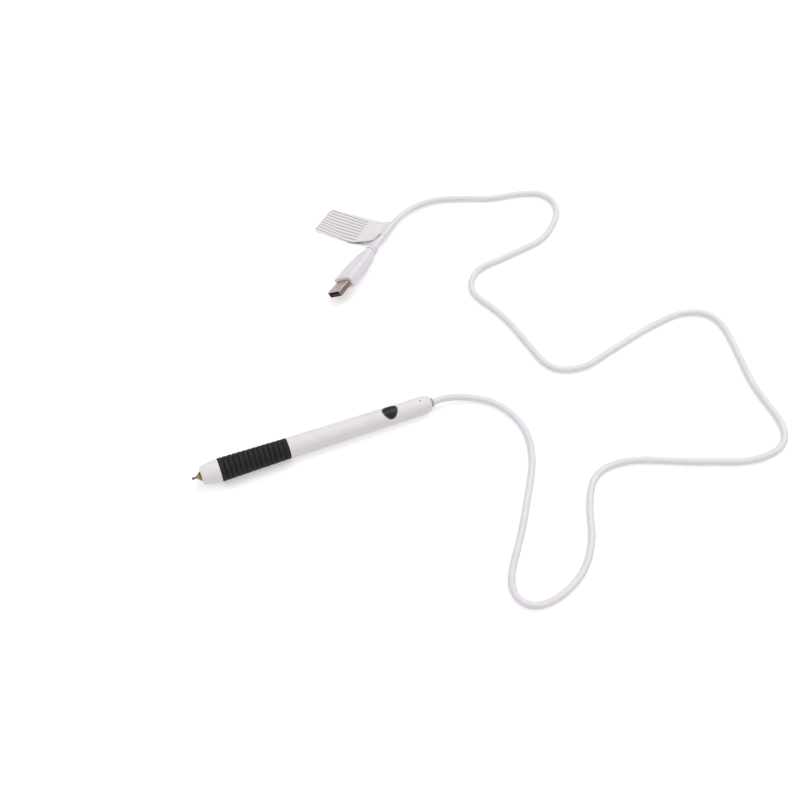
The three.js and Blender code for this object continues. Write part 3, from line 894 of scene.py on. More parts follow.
@dataclass(frozen=True)
class RuledFilm(Finish):
    """White write-on film with thin ruled lines on the face that shows, and nothing written.

    The map holds, in cm, how far along the folded film and how far across it a point is.

    Attributes:
        line: Colour of the lines.
        span: Where along the film the lines start and stop, in mm.
        rows: The first line's place across the film, the pitch and the last line's place.
        width: Width of a line.
        strength: How far a line covers the film.
        soft: How far a line's ends fade.
    """

    line: Color = (0.22, 0.205, 0.21)
    span: tuple[float, float] = (76.0, 111.0)
    rows: tuple[float, float, float] = (-1.0, 2.6, 21.0)
    width: float = 0.68
    strength: float = 0.85
    soft: float = 0.3

    def paint(self, tree: Tree, at: Socket) -> Layers:
        """Rules the lines over the plain layers.

        A place across the film, taken modulo the pitch, tells how far off a line's middle it is.

        Args:
            tree: The material's node tree.
            at: Place on the piece in the sub-assembly's frame, in mm.

        Returns:
            The layers with this added.
        """
        layers = super().paint(tree, at)
        u, v, _ = tree.split(tree.add("UVMap", uv_map="surface").outputs[0])
        along, across = tree.math("MULTIPLY", u, MAP_UNIT), tree.math("MULTIPLY", v, MAP_UNIT)
        (start, stop), (first, pitch, last) = self.span, self.rows
        half, soft, inked, bare = pitch / 2.0, self.soft, 0.3 * self.width, 0.6 * self.width
        within = tree.math("MODULO", tree.math("SUBTRACT", across, first - half), pitch)
        off_line = tree.math("ABSOLUTE", tree.math("SUBTRACT", within, half))
        mark = tree.step(off_line, inked, bare, 1.0, 0.0)
        limits = (
            tree.step(along, start, start + soft),
            tree.step(along, stop - soft, stop, 1.0, 0.0),
            tree.step(across, first - half, first - half + soft),
            tree.step(across, last, last + soft, 1.0, 0.0),
        )
        for limit in limits:
            mark = tree.math("MULTIPLY", mark, limit)
        share = tree.math("MULTIPLY", mark, self.strength)
        layers.color = tree.blend(share, layers.color, (*self.line, 1.0))
        return layers


@dataclass(frozen=True)
class TracedBoard(Finish):
    """Green lacquer over copper tracks, as raised paler lines along and across the board.

    Attributes:
        track: Colour of lacquer over a track.
        pitch: Distance between tracks.
        length: Length of a cell.
        width: Half a track's width.
        thick: How far a track stands up.
    """

    track: Color = (0.03, 0.17, 0.06)
    pitch: float = 1.9
    length: float = 3.4 * pitch
    width: float = 0.16
    thick: float = 0.03

    def paint(self, tree: Tree, at: Socket) -> Layers:
        """Adds the tracks as the edges of large rectangular cells.

        Args:
            tree: The material's node tree.
            at: Place on the piece in the sub-assembly's frame, in mm.

        Returns:
            The layers with this added.
        """
        layers = super().paint(tree, at)
        cell = {"Vector": at, "Scale": 1.0, "Brick Width": self.length, "Row Height": self.pitch}
        edge = {"Mortar Size": self.width, "Mortar Smooth": 0.2}
        track = tree.add("TexBrick", cell | edge).outputs["Fac"]
        layers.color = tree.blend(track, layers.color, (*self.track, 1.0))
        layers.height = tree.math("MULTIPLY_ADD", track, self.thick, layers.height)
        return layers


WHITE_PLASTIC = Finish("white_plastic", (0.748, 0.714, 0.712), (0.728, 0.69, 0.692), 14.0, specular=0.35)
BARREL_PLASTIC = BadgedPlastic(
    "white_plastic", (0.722, 0.693, 0.688), (0.702, 0.668, 0.668), 14.0, specular=0.3
)
JACKET = Finish("cord_jacket", (0.728, 0.69, 0.742), (0.703, 0.664, 0.717), 11.0, (0.36, 0.5), (0.5, 0.006))
RUBBER = RubberWithDustAndPaintedShade(
    "grip_rubber", (0.0118, 0.0088, 0.0092), (0.0158, 0.0122, 0.0126), 3.0, (0.58, 0.78), (0.22, 0.02),
    specular=0.22,
)
BRASS = ScorchedMetalWithPaintedReflection(
    "brass", (0.6, 0.42, 0.2), (0.45, 0.29, 0.12), 1.6, (0.18, 0.3), metallic=1.0,
    stain=((0.13, 0.075, 0.03), 0.45),
)
COPPER = TooledMetal("copper", (0.56, 0.24, 0.13), (0.46, 0.18, 0.09), 1.5, (0.24, 0.38), metallic=1.0)
GOLD = TooledMetal("contact_gold", (0.72, 0.48, 0.14), (0.64, 0.42, 0.12), 2.0, (0.16, 0.26), metallic=1.0)
NICKEL = TooledMetal(
    "shell_nickel", (0.53, 0.445, 0.39), (0.47, 0.39, 0.34), 3.0, (0.26, 0.4), metallic=1.0,
    stretch=(0.05, 1.0, 1.0), lines=(0.22, 0.004), stain=((0.3, 0.25, 0.21), 0.4),
)
STEEL = TooledMetal("steel", (0.4, 0.41, 0.42), (0.34, 0.35, 0.36), 4.0, (0.28, 0.42), metallic=1.0)
# The bush's dark grey is partly its own colour and partly painted shade of the gap round the cord
BUSH_GREY_AND_GAP_SHADE = Finish("grey_bush", (0.36, 0.32, 0.35), (0.32, 0.28, 0.31), 1.5, (0.5, 0.65))
BLACK_PLASTIC = Finish("black_plastic", (0.012, 0.011, 0.011), (0.018, 0.016, 0.016), 2.0, (0.4, 0.6))
CERAMIC = Finish("ceramic", (0.8, 0.76, 0.68), (0.72, 0.67, 0.58), 2.0, (0.6, 0.8), (0.15, 0.01))
BOARD = TracedBoard("board_green", (0.012, 0.1, 0.034), (0.01, 0.08, 0.026), 5.0, (0.25, 0.4))
CHIP = Finish("chip_black", (0.014, 0.014, 0.014), (0.02, 0.02, 0.02), 0.8, (0.4, 0.6))
RESIN = Finish("led_resin", (0.85, 0.76, 0.5), (0.8, 0.68, 0.4), 0.5, (0.1, 0.2), coat=0.5)
RED_WIRE = Finish("red_wire", (0.45, 0.02, 0.014), (0.36, 0.015, 0.01), 2.0, (0.35, 0.5))
BLACK_WIRE = Finish("black_wire", (0.013, 0.013, 0.013), (0.02, 0.02, 0.02), 2.0, (0.35, 0.5))
FILM = RuledFilm("white_film", (0.71, 0.678, 0.686), (0.685, 0.652, 0.662), 16.0, (0.3, 0.45), (2.5, 0.03))


def seat(
    piece: bpy.types.Object, finish: Finish, place: Placement, body: Body, node: str
) -> bpy.types.Object:
    """Dresses a new piece, puts it on its body and lets it stand for its CAD node.

    Args:
        piece: The new piece.
        finish: Its finish.
        place: Where its sub-assembly is.
        body: The body that it rides on.
        node: The CAD node that it stands for.

    Returns:
        The piece.
    """
    piece.data.materials.append(finish.material(place))
    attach(piece, body.value)
    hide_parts(node)
    return piece


# Where the CAD has the pen, the plug and the flag

PEN = Placement("pen", (-80.022, 0.0, 7.908), (0.0, 0.68044, 0.0))
PLUG = Placement("plug", (52.0, 107.3, 8.64399), (-39.0, 1.5, 38.0))
FLAG = Placement("flag", (109.3, 152.7, 0.0), (0.0, 0.0, 128.8))
FRAME = Placement("frame")

# The pen


@dataclass(frozen=True)
class Ring:
    """A flat ring round the axis.

    Attributes:
        front: Station of its front face.
        rear: Station of its rear face.
        inner: Inner radius.
        outer: Outer radius.
        edges: Roundings of the front's and the rear's outer edge and of the rear's inner edge.
        arc_steps: Points on each rounding.
        sides: Points round the ring.
    """

    front: float
    rear: float
    inner: float
    outer: float
    edges: tuple[float, float, float]
    arc_steps: int
    sides: int

    def grid(self) -> Array:
        """The ring's closed outline, carried round X.

        Returns:
            Points, (outline, sides + 1, 3).
        """
        front, rear, inner, outer = self.front, self.rear, self.inner, self.outer
        corners = [(front, inner), (front, outer), (rear, outer), (rear, inner), (front, inner)]
        return turned(softened(corners, list(self.edges), self.arc_steps), full_turn(self.sides))


@dataclass
class HeatedTip:
    """The brass tip that screws out of its holder, and the washer under it.

    Attributes:
        ball: Diameter of the ball at the end.
        stem: Diameter of the stem behind it.
        cone_start: Station where the stem flares out.
        base_start: Station where the cone meets the base.
        shoulder: Station of the base's rear face.
        base: Diameter of the base.
        stud: Diameter over the thread's crests.
        stud_end: Station of the stud's end.
        roundings: Radii at the stem's end, the cone's end, the base's rear edge and the stud's root.
        stud_edge: Rounding of the stud's end.
        thread: Stations where the thread starts and stops.
        pitch: The thread's pitch.
        depth: The thread's depth.
        run_out: Length over which the thread fades in and out.
        ball_rows: Rows of the mesh on the ball.
        rows_per_turn: Rows on each turn of the thread.
        ring: The washer.
        sides: Points round the tip.
    """

    ball: float = 1.8
    stem: float = 1.15
    cone_start: float = 2.4
    base_start: float = 5.3
    shoulder: float = 6.6
    base: float = 5.8
    stud: float = 3.0
    stud_end: float = 12.0
    roundings: tuple[float, float, float, float] = (0.5, 0.25, 0.15, 0.08)
    stud_edge: float = 0.25
    thread: tuple[float, float] = (7.0, 11.7)
    pitch: float = 0.5
    depth: float = 0.16
    run_out: float = 0.4
    ball_rows: int = 18
    rows_per_turn: int = 12
    ring: Ring = Ring(
        front=6.9, rear=7.4, inner=1.8, outer=2.7, edges=(0.1, 0.1, 0.06), arc_steps=4, sides=64
    )
    sides: int = 72

    def nib(self) -> bpy.types.Object:
        """Builds the tip: a ball, a slim stem, a flared cone, a base, and a stud with its thread.

        The outline is carried round X; on the stud the radius is lowered by
        depth · (1 − cos 2π(station / pitch − angle / 2π)) / 2, a right-handed helix.

        Returns:
            The dressed piece.
        """
        start, stop = self.thread
        ball, stem, base, stud = self.ball / 2, self.stem / 2, self.base / 2, self.stud / 2
        polar = np.linspace(np.pi, np.arcsin(stem / ball), self.ball_rows)
        tip = np.stack([ball + ball * np.cos(polar), ball * np.sin(polar)], -1)
        flare = softened(
            [
                tuple(tip[-1]), (self.cone_start, stem), (self.base_start, base), (self.shoulder, base),
                (self.shoulder, stud), (start - 0.1, stud),
            ],
            list(self.roundings),
        )
        rows = np.linspace(start, stop, int((stop - start) / self.pitch * self.rows_per_turn) + 1)
        threaded = np.stack([rows, np.full_like(rows, stud)], -1)
        end = softened([(stop + 0.02, stud), (self.stud_end, stud), (self.stud_end, 0.0)], [self.stud_edge])
        outline = np.concatenate([[[0.0, 0.0]], tip[1:], flare[1:], threaded, end])
        angles = full_turn(self.sides)
        grid = turned(outline, angles)
        along = outline[:, 0]
        fade = ease((along - start) / self.run_out) * ease((stop - along) / self.run_out)
        wave = (1.0 - np.cos(2 * np.pi * (along[:, None] / self.pitch - angles / (2 * np.pi)))) / 2.0
        radius = np.maximum(outline[:, 1], self.depth)[:, None]
        grid[..., 1:] *= (1.0 - self.depth * fade[:, None] * wave / radius)[..., None]
        grid[:, -1] = grid[:, 0]
        return seat(skin("nib_brass_tip", grid, PEN), BRASS, PEN, Body.TIP, "nib")

    def washer(self) -> bpy.types.Object:
        """Builds the washer, a flat ring with broken edges."""
        made = skin("tip_washer_ring", self.ring.grid(), PEN)
        return seat(made, COPPER, PEN, Body.WASHER, "nib_washer")


@dataclass
class NoseCone:
    """The white nose, a short crowned cone with a flat face and a stepped bore.

    Attributes:
        face: Station of the flat face.
        face_radius: Radius of the flat face.
        edge: Rounding between the face and the side.
        rear: Station of the rear end.
        rear_radius: Radius at the rear end.
        rear_bevel: Length and drop of the bevel at the rear end.
        crown: How far the side's middle stands out from a straight taper.
        mouth: Radius of the hole in the face.
        mouth_bevel: Bevel of that hole.
        cavity: Station where the room behind the mouth starts, and its radius.
        socket: Station where the socket for the grip's core starts, and its radius.
        edge_rows: Rows of the mesh on the front rounding.
        side_rows: Rows on the side.
        sides: Points round the nose.
    """

    face: float = 5.9
    face_radius: float = 4.8
    edge: float = 1.2
    rear: float = 17.78
    rear_radius: float = 7.35
    rear_bevel: tuple[float, float] = (0.12, 0.1)
    crown: float = 0.45
    mouth: float = 3.4
    mouth_bevel: float = 0.15
    cavity: tuple[float, float] = (8.6, 4.5)
    socket: tuple[float, float] = (14.1, 5.6)
    edge_rows: int = 9
    side_rows: int = 26
    sides: int = 128

    def build(self) -> bpy.types.Object:
        """Carries a closed outline round X; the side rises by its taper plus crown · sin(π · share).

        Returns:
            The dressed piece.
        """
        turn = np.linspace(np.pi, np.pi / 2, self.edge_rows)
        edge = np.stack([self.edge * np.cos(turn), self.edge * np.sin(turn)], -1)
        edge += (self.face + self.edge, self.face_radius)
        share = np.linspace(0.0, 1.0, self.side_rows)[1:]
        start, side_start = self.face + self.edge, self.face_radius + self.edge
        rise = (self.rear_radius - side_start) * share + self.crown * np.sin(np.pi * share)
        side = np.stack([start + (self.rear - start) * share, side_start + rise], -1)
        bevel, drop = self.rear_bevel
        side[-1, 1] -= drop
        side[-2, 0] = self.rear - bevel
        cavity, cavity_radius = self.cavity
        socket, socket_radius = self.socket
        inside = np.array(
            [
                (self.rear, socket_radius), (socket, socket_radius), (socket, cavity_radius),
                (cavity, cavity_radius), (cavity, self.mouth), (self.face + self.mouth_bevel, self.mouth),
                (self.face, self.mouth + self.mouth_bevel),
            ]
        )
        outline = np.concatenate([inside[-1:], edge, side, inside])
        grid = turned(outline, full_turn(self.sides))
        return seat(skin("nose_cone_shell", grid, PEN), WHITE_PLASTIC, PEN, Body.PEN, "nose_cone")


@dataclass
class Grip:
    """The ribbed rubber sleeve.

    Attributes:
        front: Station of the front end.
        rear: Station of the rear end.
        ribs: How many ribs there are.
        front_radius: Radius over the first rib.
        rear_radius: Radius over the last rib.
        depth: Depth of a groove on top.
        worn: Share of that depth that is missing at the sides; at the underside it is twice as much.
        fullness: How broad and steep-sided the ribs are.
        bore: Radius of the bore.
        rows_per_rib: Rows of the mesh on each rib.
        sides: Points round the sleeve.
    """

    front: float = 17.82
    rear: float = 62.5
    ribs: int = 14
    front_radius: float = 7.55
    rear_radius: float = 6.7
    depth: float = 0.64
    worn: float = 0.32
    fullness: float = 7.0
    bore: float = 5.6
    rows_per_rib: int = 16
    sides: int = 112

    def build(self) -> bpy.types.Object:
        """Carries the ribbed outline round X.

        The radius is the taper's less depth · |2 · share of the rib − 1| ^ fullness, so each rib is a
        broad bead with a narrow groove; half as deep at both ends of the sleeve, and shallower by
        worn · (1 − height / radius) away from the top. Rows crowd at the grooves, by
        (1 − cos π · share) / 2.

        Returns:
            The dressed piece.
        """
        count = self.ribs * self.rows_per_rib
        even = np.linspace(0.0, self.ribs, count + 1)
        rib = np.floor(even) + (1.0 - np.cos(np.pi * (even - np.floor(even)))) / 2
        station = RIB_START + rib * RIB_PITCH
        taper = self.front_radius + (self.rear_radius - self.front_radius) * rib / self.ribs
        end = np.where((rib < 0.5) | (rib > self.ribs - 0.5), 0.5, 1.0)
        groove = np.abs(2.0 * (rib - np.floor(rib)) - 1.0) ** self.fullness
        radius = taper - self.depth * end * groove
        station[0], station[-1] = self.front, self.rear
        outer = np.stack([station, radius], -1)
        inner = np.array([(self.rear, self.bore), (self.front, self.bore), (self.front, radius[0])])
        grid = turned(np.concatenate([outer, inner]), full_turn(self.sides))
        sleeve = grid[: len(outer)]
        beside = 1.0 - sleeve[..., 2] / radius[:, None]
        sleeve[..., 1:] *= 1.0 + (self.worn * (taper - radius) / radius)[:, None, None] * beside[..., None]
        return seat(skin("grip_ribbed_sleeve", grid, PEN), RUBBER, PEN, Body.PEN, "grip_sleeve")


@dataclass
class Barrel:
    """The tapered white barrel with its rounded end, pinhole and cord bush.

    Attributes:
        front: Station of the front end.
        taper_from: Station where the taper starts.
        front_radius: Radius at the front.
        dome_start: Station where the rounded end starts.
        rear_radius: Radius there.
        dome: Length of the rounded end.
        end_radius: Radius of the flat at the very end.
        edge: Rounding of the front edge.
        socket: Station where the socket for the grip's core ends, and its radius.
        bore: Station where the main bore ends, and its radius.
        ledges: Lengths over which the bore steps inwards at these two ends.
        bush_hole: Radius of the hole for the bush.
        pin: Station of the pinhole on top.
        pin_radius: Radius of the pinhole.
        round_pin: Places of rows and columns beside the pinhole's middle, as shares of its radius.
        rim_rows: Rows on the front rounding.
        row_step: Distance between rows on the plain stretch.
        dome_rows: Rows on the rounded end.
        row_gaps: Room before and behind the rows beside the pinhole.
        sides: Points round the barrel away from the pinhole.
        bush: The ring in the rear end.
    """

    front: float = 62.54
    taper_from: float = 62.72
    front_radius: float = 6.8
    dome_start: float = 152.32
    rear_radius: float = 6.1
    dome: float = 7.1
    end_radius: float = 3.5
    edge: float = 0.2
    socket: tuple[float, float] = (75.02, 5.3)
    bore: tuple[float, float] = (156.82, 5.1)
    ledges: tuple[float, float] = (0.03, 0.02)
    bush_hole: float = 3.08
    pin: float = 152.02
    pin_radius: float = 0.55
    round_pin: tuple[float, ...] = (0.33, 0.67, 0.89, 1.0, 1.11, 1.33, 1.73, 2.33, 3.1)
    rim_rows: int = 6
    row_step: float = 2.4
    dome_rows: int = 22
    row_gaps: tuple[float, float] = (0.4, 0.1)
    sides: int = 112
    bush: Ring = Ring(
        front=156.84, rear=160.9, inner=2.28, outer=3.05, edges=(0.1, 0.25, 0.2), arc_steps=6, sides=72
    )

    def radius_at(self, station: Array) -> Array:
        """Outer radius: a straight taper, then end + (rear − end) · √(1 − share²) over the dome.

        Args:
            station: Stations on the barrel.

        Returns:
            The radius at each.
        """
        slope = (self.rear_radius - self.front_radius) / (self.dome_start - self.taper_from)
        taper = self.front_radius + slope * (station - self.taper_from)
        share = np.clip((station - self.dome_start) / self.dome, 0.0, 1.0)
        dome = self.end_radius + (self.rear_radius - self.end_radius) * np.sqrt(1.0 - share**2)
        return np.where(station > self.dome_start, dome, taper)

    def rows_and_angles(self) -> tuple[Array, Array]:
        """The grid's stations and its places round, both crowded beside the pinhole.

        Returns:
            The rows' stations and the columns' angles, the last column at the place of the first.
        """
        near = self.pin_radius * np.array(self.round_pin)
        offset = np.concatenate([-near[::-1], [0.0], near])
        reach = near[-1]
        before, behind = self.row_gaps
        rim = self.edge * (1.0 - np.cos(np.linspace(0.0, np.pi / 2, self.rim_rows)))
        dome_from = np.arcsin((self.pin + reach + behind - self.dome_start) / self.dome)
        dome = np.sin(np.linspace(dome_from, np.pi / 2, self.dome_rows))
        ends = ((self.socket[0], self.ledges[0]), (self.bore[0], self.ledges[1]))
        rows = [
            self.front + rim,
            np.arange(self.front + self.row_step / 2, self.pin - reach - before, self.row_step),
            self.pin + offset,
            np.array([(end, end + ledge) for end, ledge in ends]).ravel(),
            self.dome_start + self.dome * dome,
        ]
        top, fine = np.pi / 2, offset / self.rear_radius
        rest = np.linspace(top + fine[-1], top + fine[0] + 2 * np.pi, self.sides)[1:-1]
        angles = [top + fine, rest, [top + fine[0] + 2 * np.pi]]
        return np.unique(np.concatenate(rows)), np.concatenate(angles)

    def shell(self) -> bpy.types.Object:
        """Builds the barrel as a wall between two turned grids, with a round hole on top.

        Beside the hole each square of the grid is drawn into a circle: an offset is scaled by its
        larger part over its length, and the effect fades outwards. The front edge is rounded by
        edge · (1 − √(1 − share²)).

        Returns:
            The dressed piece.
        """
        rows, angles = self.rows_and_angles()
        reach, top = self.pin_radius * self.round_pin[-1], np.pi / 2
        a, b = rows[:, None] - self.pin, (angles[None, :] - top) * self.rear_radius
        larger, length = np.maximum(np.abs(a), np.abs(b)), np.hypot(a, b)
        fade = 1.0 - ease((larger - self.pin_radius) / (reach - self.pin_radius))
        inside = larger <= reach + CLOSE
        scale = np.where(inside, 1.0 + (larger / np.maximum(length, CLOSE) - 1.0) * fade, 1.0)
        station, angle = self.pin + a * scale, top + b * scale / self.rear_radius
        angle[:, -1] = angle[:, 0]

        rounding = np.clip((self.front + self.edge - rows) / self.edge, 0.0, 1.0)
        drop = self.edge * (1.0 - np.sqrt(1.0 - rounding**2))
        bored = np.where(rows <= self.bore[0], self.bore[1], self.bush_hole)
        inner_radius = np.where(rows <= self.socket[0], self.socket[1], bored)[:, None]
        outer, inner = (
            np.stack([station, r * np.cos(angle), r * np.sin(angle)], -1)
            for r in (self.radius_at(station) - drop[:, None], inner_radius + 0.0 * angle)
        )
        beside = np.abs((rows[1:] + rows[:-1]) / 2 - self.pin)
        round_it = np.abs((angles[1:] + angles[:-1]) / 2 - top) * self.rear_radius
        hole = (beside < self.pin_radius)[:, None] & (round_it < self.pin_radius)[None, :]
        made = walled("barrel_shell", outer, inner, ~hole, PEN)
        return seat(made, BARREL_PLASTIC, PEN, Body.PEN, "barrel")

    def cord_bush(self) -> bpy.types.Object:
        """Builds the soft ring at the cord's exit, with a rounded rim."""
        # Its dark grey stands in partly for the shade in the gap round the cord
        made = skin("cord_bush_ring", self.bush.grid(), PEN)
        return seat(made, BUSH_GREY_AND_GAP_SHADE, PEN, Body.PEN, "cord_bush")


# The cord and what is on it


@dataclass
class Cord:
    """The free cord, on one smooth curve from the barrel's end to the plug.

    Attributes:
        diameter: The cord's thickness.
        exit: The pen's station where the curve starts, in the bush's rim.
        start: The pen's station where the cord's mesh starts, inside the bush.
        entry: The plug's station where the cord meets the plug.
        stop: The plug's station where the cord's mesh ends, inside the plug.
        lead: How far the cord runs straight at both ends.
        step: Distance between the circles.
        spread: How far along the cord its bends are evened out.
        sides: Points on each circle.
        route: Places that the curve passes over.
        leaving: Heights of the first places, where the cord comes down from the pen.
        arriving: Heights of the last places, where it rises to the plug.
    """

    diameter: float = 4.5
    exit: float = 160.32
    start: float = 159.3
    entry: float = 52.3
    stop: float = 51.7
    lead: float = 9.0
    step: float = 1.0
    spread: float = 6.0
    sides: int = 28
    route: tuple[tuple[float, float], ...] = (
        (105.5, -3.5), (119.5, -13.5), (128.5, -33.7), (125.4, -57), (101.4, -97.2), (74.5, -138.5),
        (79.5, -151), (95, -153), (118, -143), (132.6, -125.8), (142.4, -104.2), (156, -86.8),
        (177, -84.3), (222, -102), (255, -113.2), (275.4, -110.8), (282.1, -104), (284.8, -95),
        (284.6, -63.8), (290.1, -3.4), (273.6, 7.8), (246, 5.7), (214.3, -1.7), (184.9, -8),
        (167, -0.7), (160.5, 23.3), (157.4, 41.1), (152.5, 58), (144.5, 80), (154, 95),
        (183.8, 101.3), (213.7, 108.1), (233.5, 127.4), (235.5, 138.5), (231.2, 148.3), (212, 155.6),
        (194, 158.4), (176, 165.4), (153, 171.7), (136, 169.2), (121.5, 162.2),
    )
    leaving: tuple[float, ...] = (3.2, 2.3)
    arriving: tuple[float, ...] = (2.3, 2.7, 4.0, 5.4)

    def line(self) -> Array:
        """The cord's centreline: straight out of the bush, along the route, straight into the plug.

        Returns:
            Points a step apart, in the part's frame.
        """
        lying = np.full(len(self.route) - len(self.leaving) - len(self.arriving), self.diameter / 2)
        height = np.concatenate([self.leaving, lying, self.arriving])
        middle = np.concatenate([np.array(self.route, float), height[:, None]], -1)
        pen = np.array([self.start, self.exit, self.exit + self.lead])
        plug = np.array([self.entry + self.lead, self.entry, self.stop])
        out, back = (
            place.put(np.stack([x, 0 * x, 0 * x], -1)) for place, x in ((PEN, pen), (PLUG, plug))
        )
        curve = smooth_curve(np.concatenate([out[1:], middle, back[:-1]]))
        even = evenly(np.concatenate([out[:1], curve, back[-1:]]), self.step)
        return faired(even, self.spread / self.step, self.lead / self.step)

    def build(self, line: Array) -> bpy.types.Object:
        """Carries a circle along the line.

        At each point the circle lies in the plane of the level direction across the line and the
        direction square to both; both ends close in a point at their middle.

        Args:
            line: The cord's centreline, in the part's frame.

        Returns:
            The dressed piece.
        """
        ahead = unit(np.gradient(line, axis=0))
        across = unit(np.cross(ahead, [0.0, 0.0, 1.0]))
        up = np.cross(across, ahead)
        count = len(line)
        index = np.concatenate([[0], np.arange(count), [count - 1]])
        radius = np.full(count + 2, self.diameter / 2)
        radius[[0, -1]] = 0.0
        angle = full_turn(self.sides)
        side = -np.cos(angle)[None, :, None] * across[index][:, None]
        ring = side + np.sin(angle)[None, :, None] * up[index][:, None]
        ring[:, -1] = ring[:, 0]
        grid = line[index][:, None] + radius[:, None, None] * ring
        made = skin("cord_white_jacket", grid, FRAME, crease=60.0)
        return seat(made, JACKET, FRAME, Body.PEN, "cord")


@dataclass
class Plug:
    """The plug's moulded body and its folded metal shell.

    Attributes:
        front: Station of the body's front face.
        edge: Rounding of the front's edge.
        sections: Station, width, height and corner radius of the body at three places.
        neck_from: How far before the last of these the body starts to close to the collar.
        collar: Station of the collar, and of its end.
        collar_size: Diameter of the collar.
        lap: How far the closing body and the collar's outline run into the collar.
        rings: Diameters of the two rings behind the collar.
        groove: A groove's width, and its depth below the ring behind it.
        ring: A ring's length.
        draft: How far a groove's side leans.
        roundings: Radii of the rings' edges, the grooves' feet and the rear end.
        crown: How far the middle of a flat side stands out.
        rows: Rows of the mesh on the front rounding, on the long body and on the neck.
        socket: Depth, width, height and corner radius of the hollow that holds the shell.
        hollow_bevel: How much wider the hollow is at its mouth, and the length of that bevel.
        shell: The shell's width and height.
        wall: Thickness of the shell's sheet.
        length: The shell's length.
        shell_corner: Outer corner radius of the shell.
        lip: Stations of the shell's folded lip.
        pinch: How much narrower the shell is at these stations.
        inner_pinch: Share of the pinch that the shell's inside has.
        plain_rows: Stations of the shell's other rows, before and behind the windows.
        window: Stations where a window starts and stops.
        window_side: Distances of its sides from the shell's middle.
    """

    front: float = 12.4
    edge: float = 0.6
    sections: tuple[tuple[float, float, float, float], ...] = (
        (13.0, 17.3, 8.9, 2.4), (25.0, 17.0, 9.2, 2.8), (42.2, 13.5, 8.2, 3.0),
    )
    neck_from: float = 2.0
    collar: tuple[float, float] = (45.4, 47.2)
    collar_size: float = 8.2
    lap: tuple[float, float] = (0.5, 0.6)
    rings: tuple[float, float] = (8.0, 7.4)
    groove: tuple[float, float] = (0.8, 0.9)
    ring: float = 1.6
    draft: float = 0.06
    roundings: tuple[float, float, float] = (0.22, 0.06, 0.35)
    crown: float = 0.12
    rows: tuple[int, int, int] = (6, 15, 18)
    socket: tuple[float, float, float, float] = (18.7, 12.06, 4.56, 0.6)
    hollow_bevel: tuple[float, float] = (0.3, 0.15)
    shell: tuple[float, float] = (12.0, 4.5)
    wall: float = 0.3
    length: float = 18.4
    shell_corner: float = 0.62
    lip: tuple[float, ...] = (0.0, 0.05, 0.16, 0.34)
    pinch: tuple[float, ...] = (0.34, 0.2, 0.07, 0.0)
    inner_pinch: float = 0.4
    plain_rows: tuple[tuple[float, ...], tuple[float, ...]] = ((1.2, 2.6), (9.0, 12.0, 15.0))
    window: tuple[float, float] = (4.6, 7.1)
    window_side: tuple[float, float] = (1.6, 3.7)

    def closing_box(self) -> tuple[Array, list[Array], Array]:
        """The body's outside from its front edge to the collar.

        Width, height and corner follow the parabola through the three sections, less
        2 · edge · (1 − sin turn) at the rounded front edge, and ease into the round collar.

        Returns:
            The stations, the three sizes at each, and how far the body has closed.
        """
        at, *sizes = np.array(self.sections).T
        tail, full = at[-1] - self.neck_from, self.collar[0] + self.lap[0]
        on_lip, on_long, on_neck = self.rows
        turn = np.linspace(0.0, np.pi / 2, on_lip)
        lip, start = self.front + self.edge * (1.0 - np.cos(turn)), self.front + self.edge
        long = start + (tail - self.front - self.edge) * np.linspace(0.0, 1.0, on_long)[1:]
        neck = tail + (full - tail) * np.linspace(0.0, 1.0, on_neck)[1:]
        x = np.concatenate([lip, long, neck])
        closing = ease((x - tail) / (full - tail))
        width, height, corner = (np.polyval(np.polyfit(at, size, 2), x) for size in sizes)
        drop = np.concatenate([2 * self.edge * (1.0 - np.sin(turn)), np.zeros(len(long) + len(neck))])
        closed = (self.collar_size, self.collar_size, self.collar_size / 2)
        open_box = (width - drop, height - drop, corner)
        return x, [size + (r - size) * closing for size, r in zip(open_box, closed)], closing

    def relief_outline(self) -> Array:
        """The outline of collar, grooves, rings and rear end, as [station, radius].

        Returns:
            The outline, (count, 2).
        """
        (gap, depth), (rim, foot, end) = self.groove, self.roundings
        x, before = self.collar[1], self.collar_size
        corners, radii = [(self.collar[0] + self.lap[1], before / 2)], []
        for size in self.rings:
            low = size / 2 - depth
            near, far = x + self.draft, x + gap - self.draft
            corners += [(x, before / 2), (near, low), (far, low), (x + gap, size / 2)]
            radii += [rim, foot, foot, rim]
            x, before = x + gap + self.ring, size
        return softened(corners + [(x, before / 2), (x, 0.0)], radii + [end])

    def body(self) -> bpy.types.Object:
        """Builds the moulded body as rings along X: the hollow for the shell, the outside, the rear.

        Returns:
            The dressed piece.
        """
        section = BoxSection(tuple(np.linspace(-0.9, 0.9, 9)), tuple(np.linspace(-0.8, 0.8, 5)), 9)
        deep, wide, high, inner_corner = self.socket
        wider, bevel = self.hollow_bevel
        x, (width, height, corner), closing = self.closing_box()
        rear, radius = self.relief_outline().T
        stations = np.concatenate([[deep, deep, self.front + bevel, self.front], x, rear])
        widths = np.concatenate([[0.0, wide, wide, wide + wider], width, 2 * radius])
        heights = np.concatenate([[0.0, high, high, high + wider], height, 2 * radius])
        corners = np.concatenate([[0.0], [inner_corner] * 3, corner, radius])
        crown = np.concatenate([np.zeros(4), self.crown * (1.0 - closing), np.zeros(len(rear))])
        made = skin("plug_moulded_body", section.rings(stations, widths, heights, corners, crown), PLUG)
        return seat(made, JACKET, PLUG, Body.PEN, "plug_overmould")

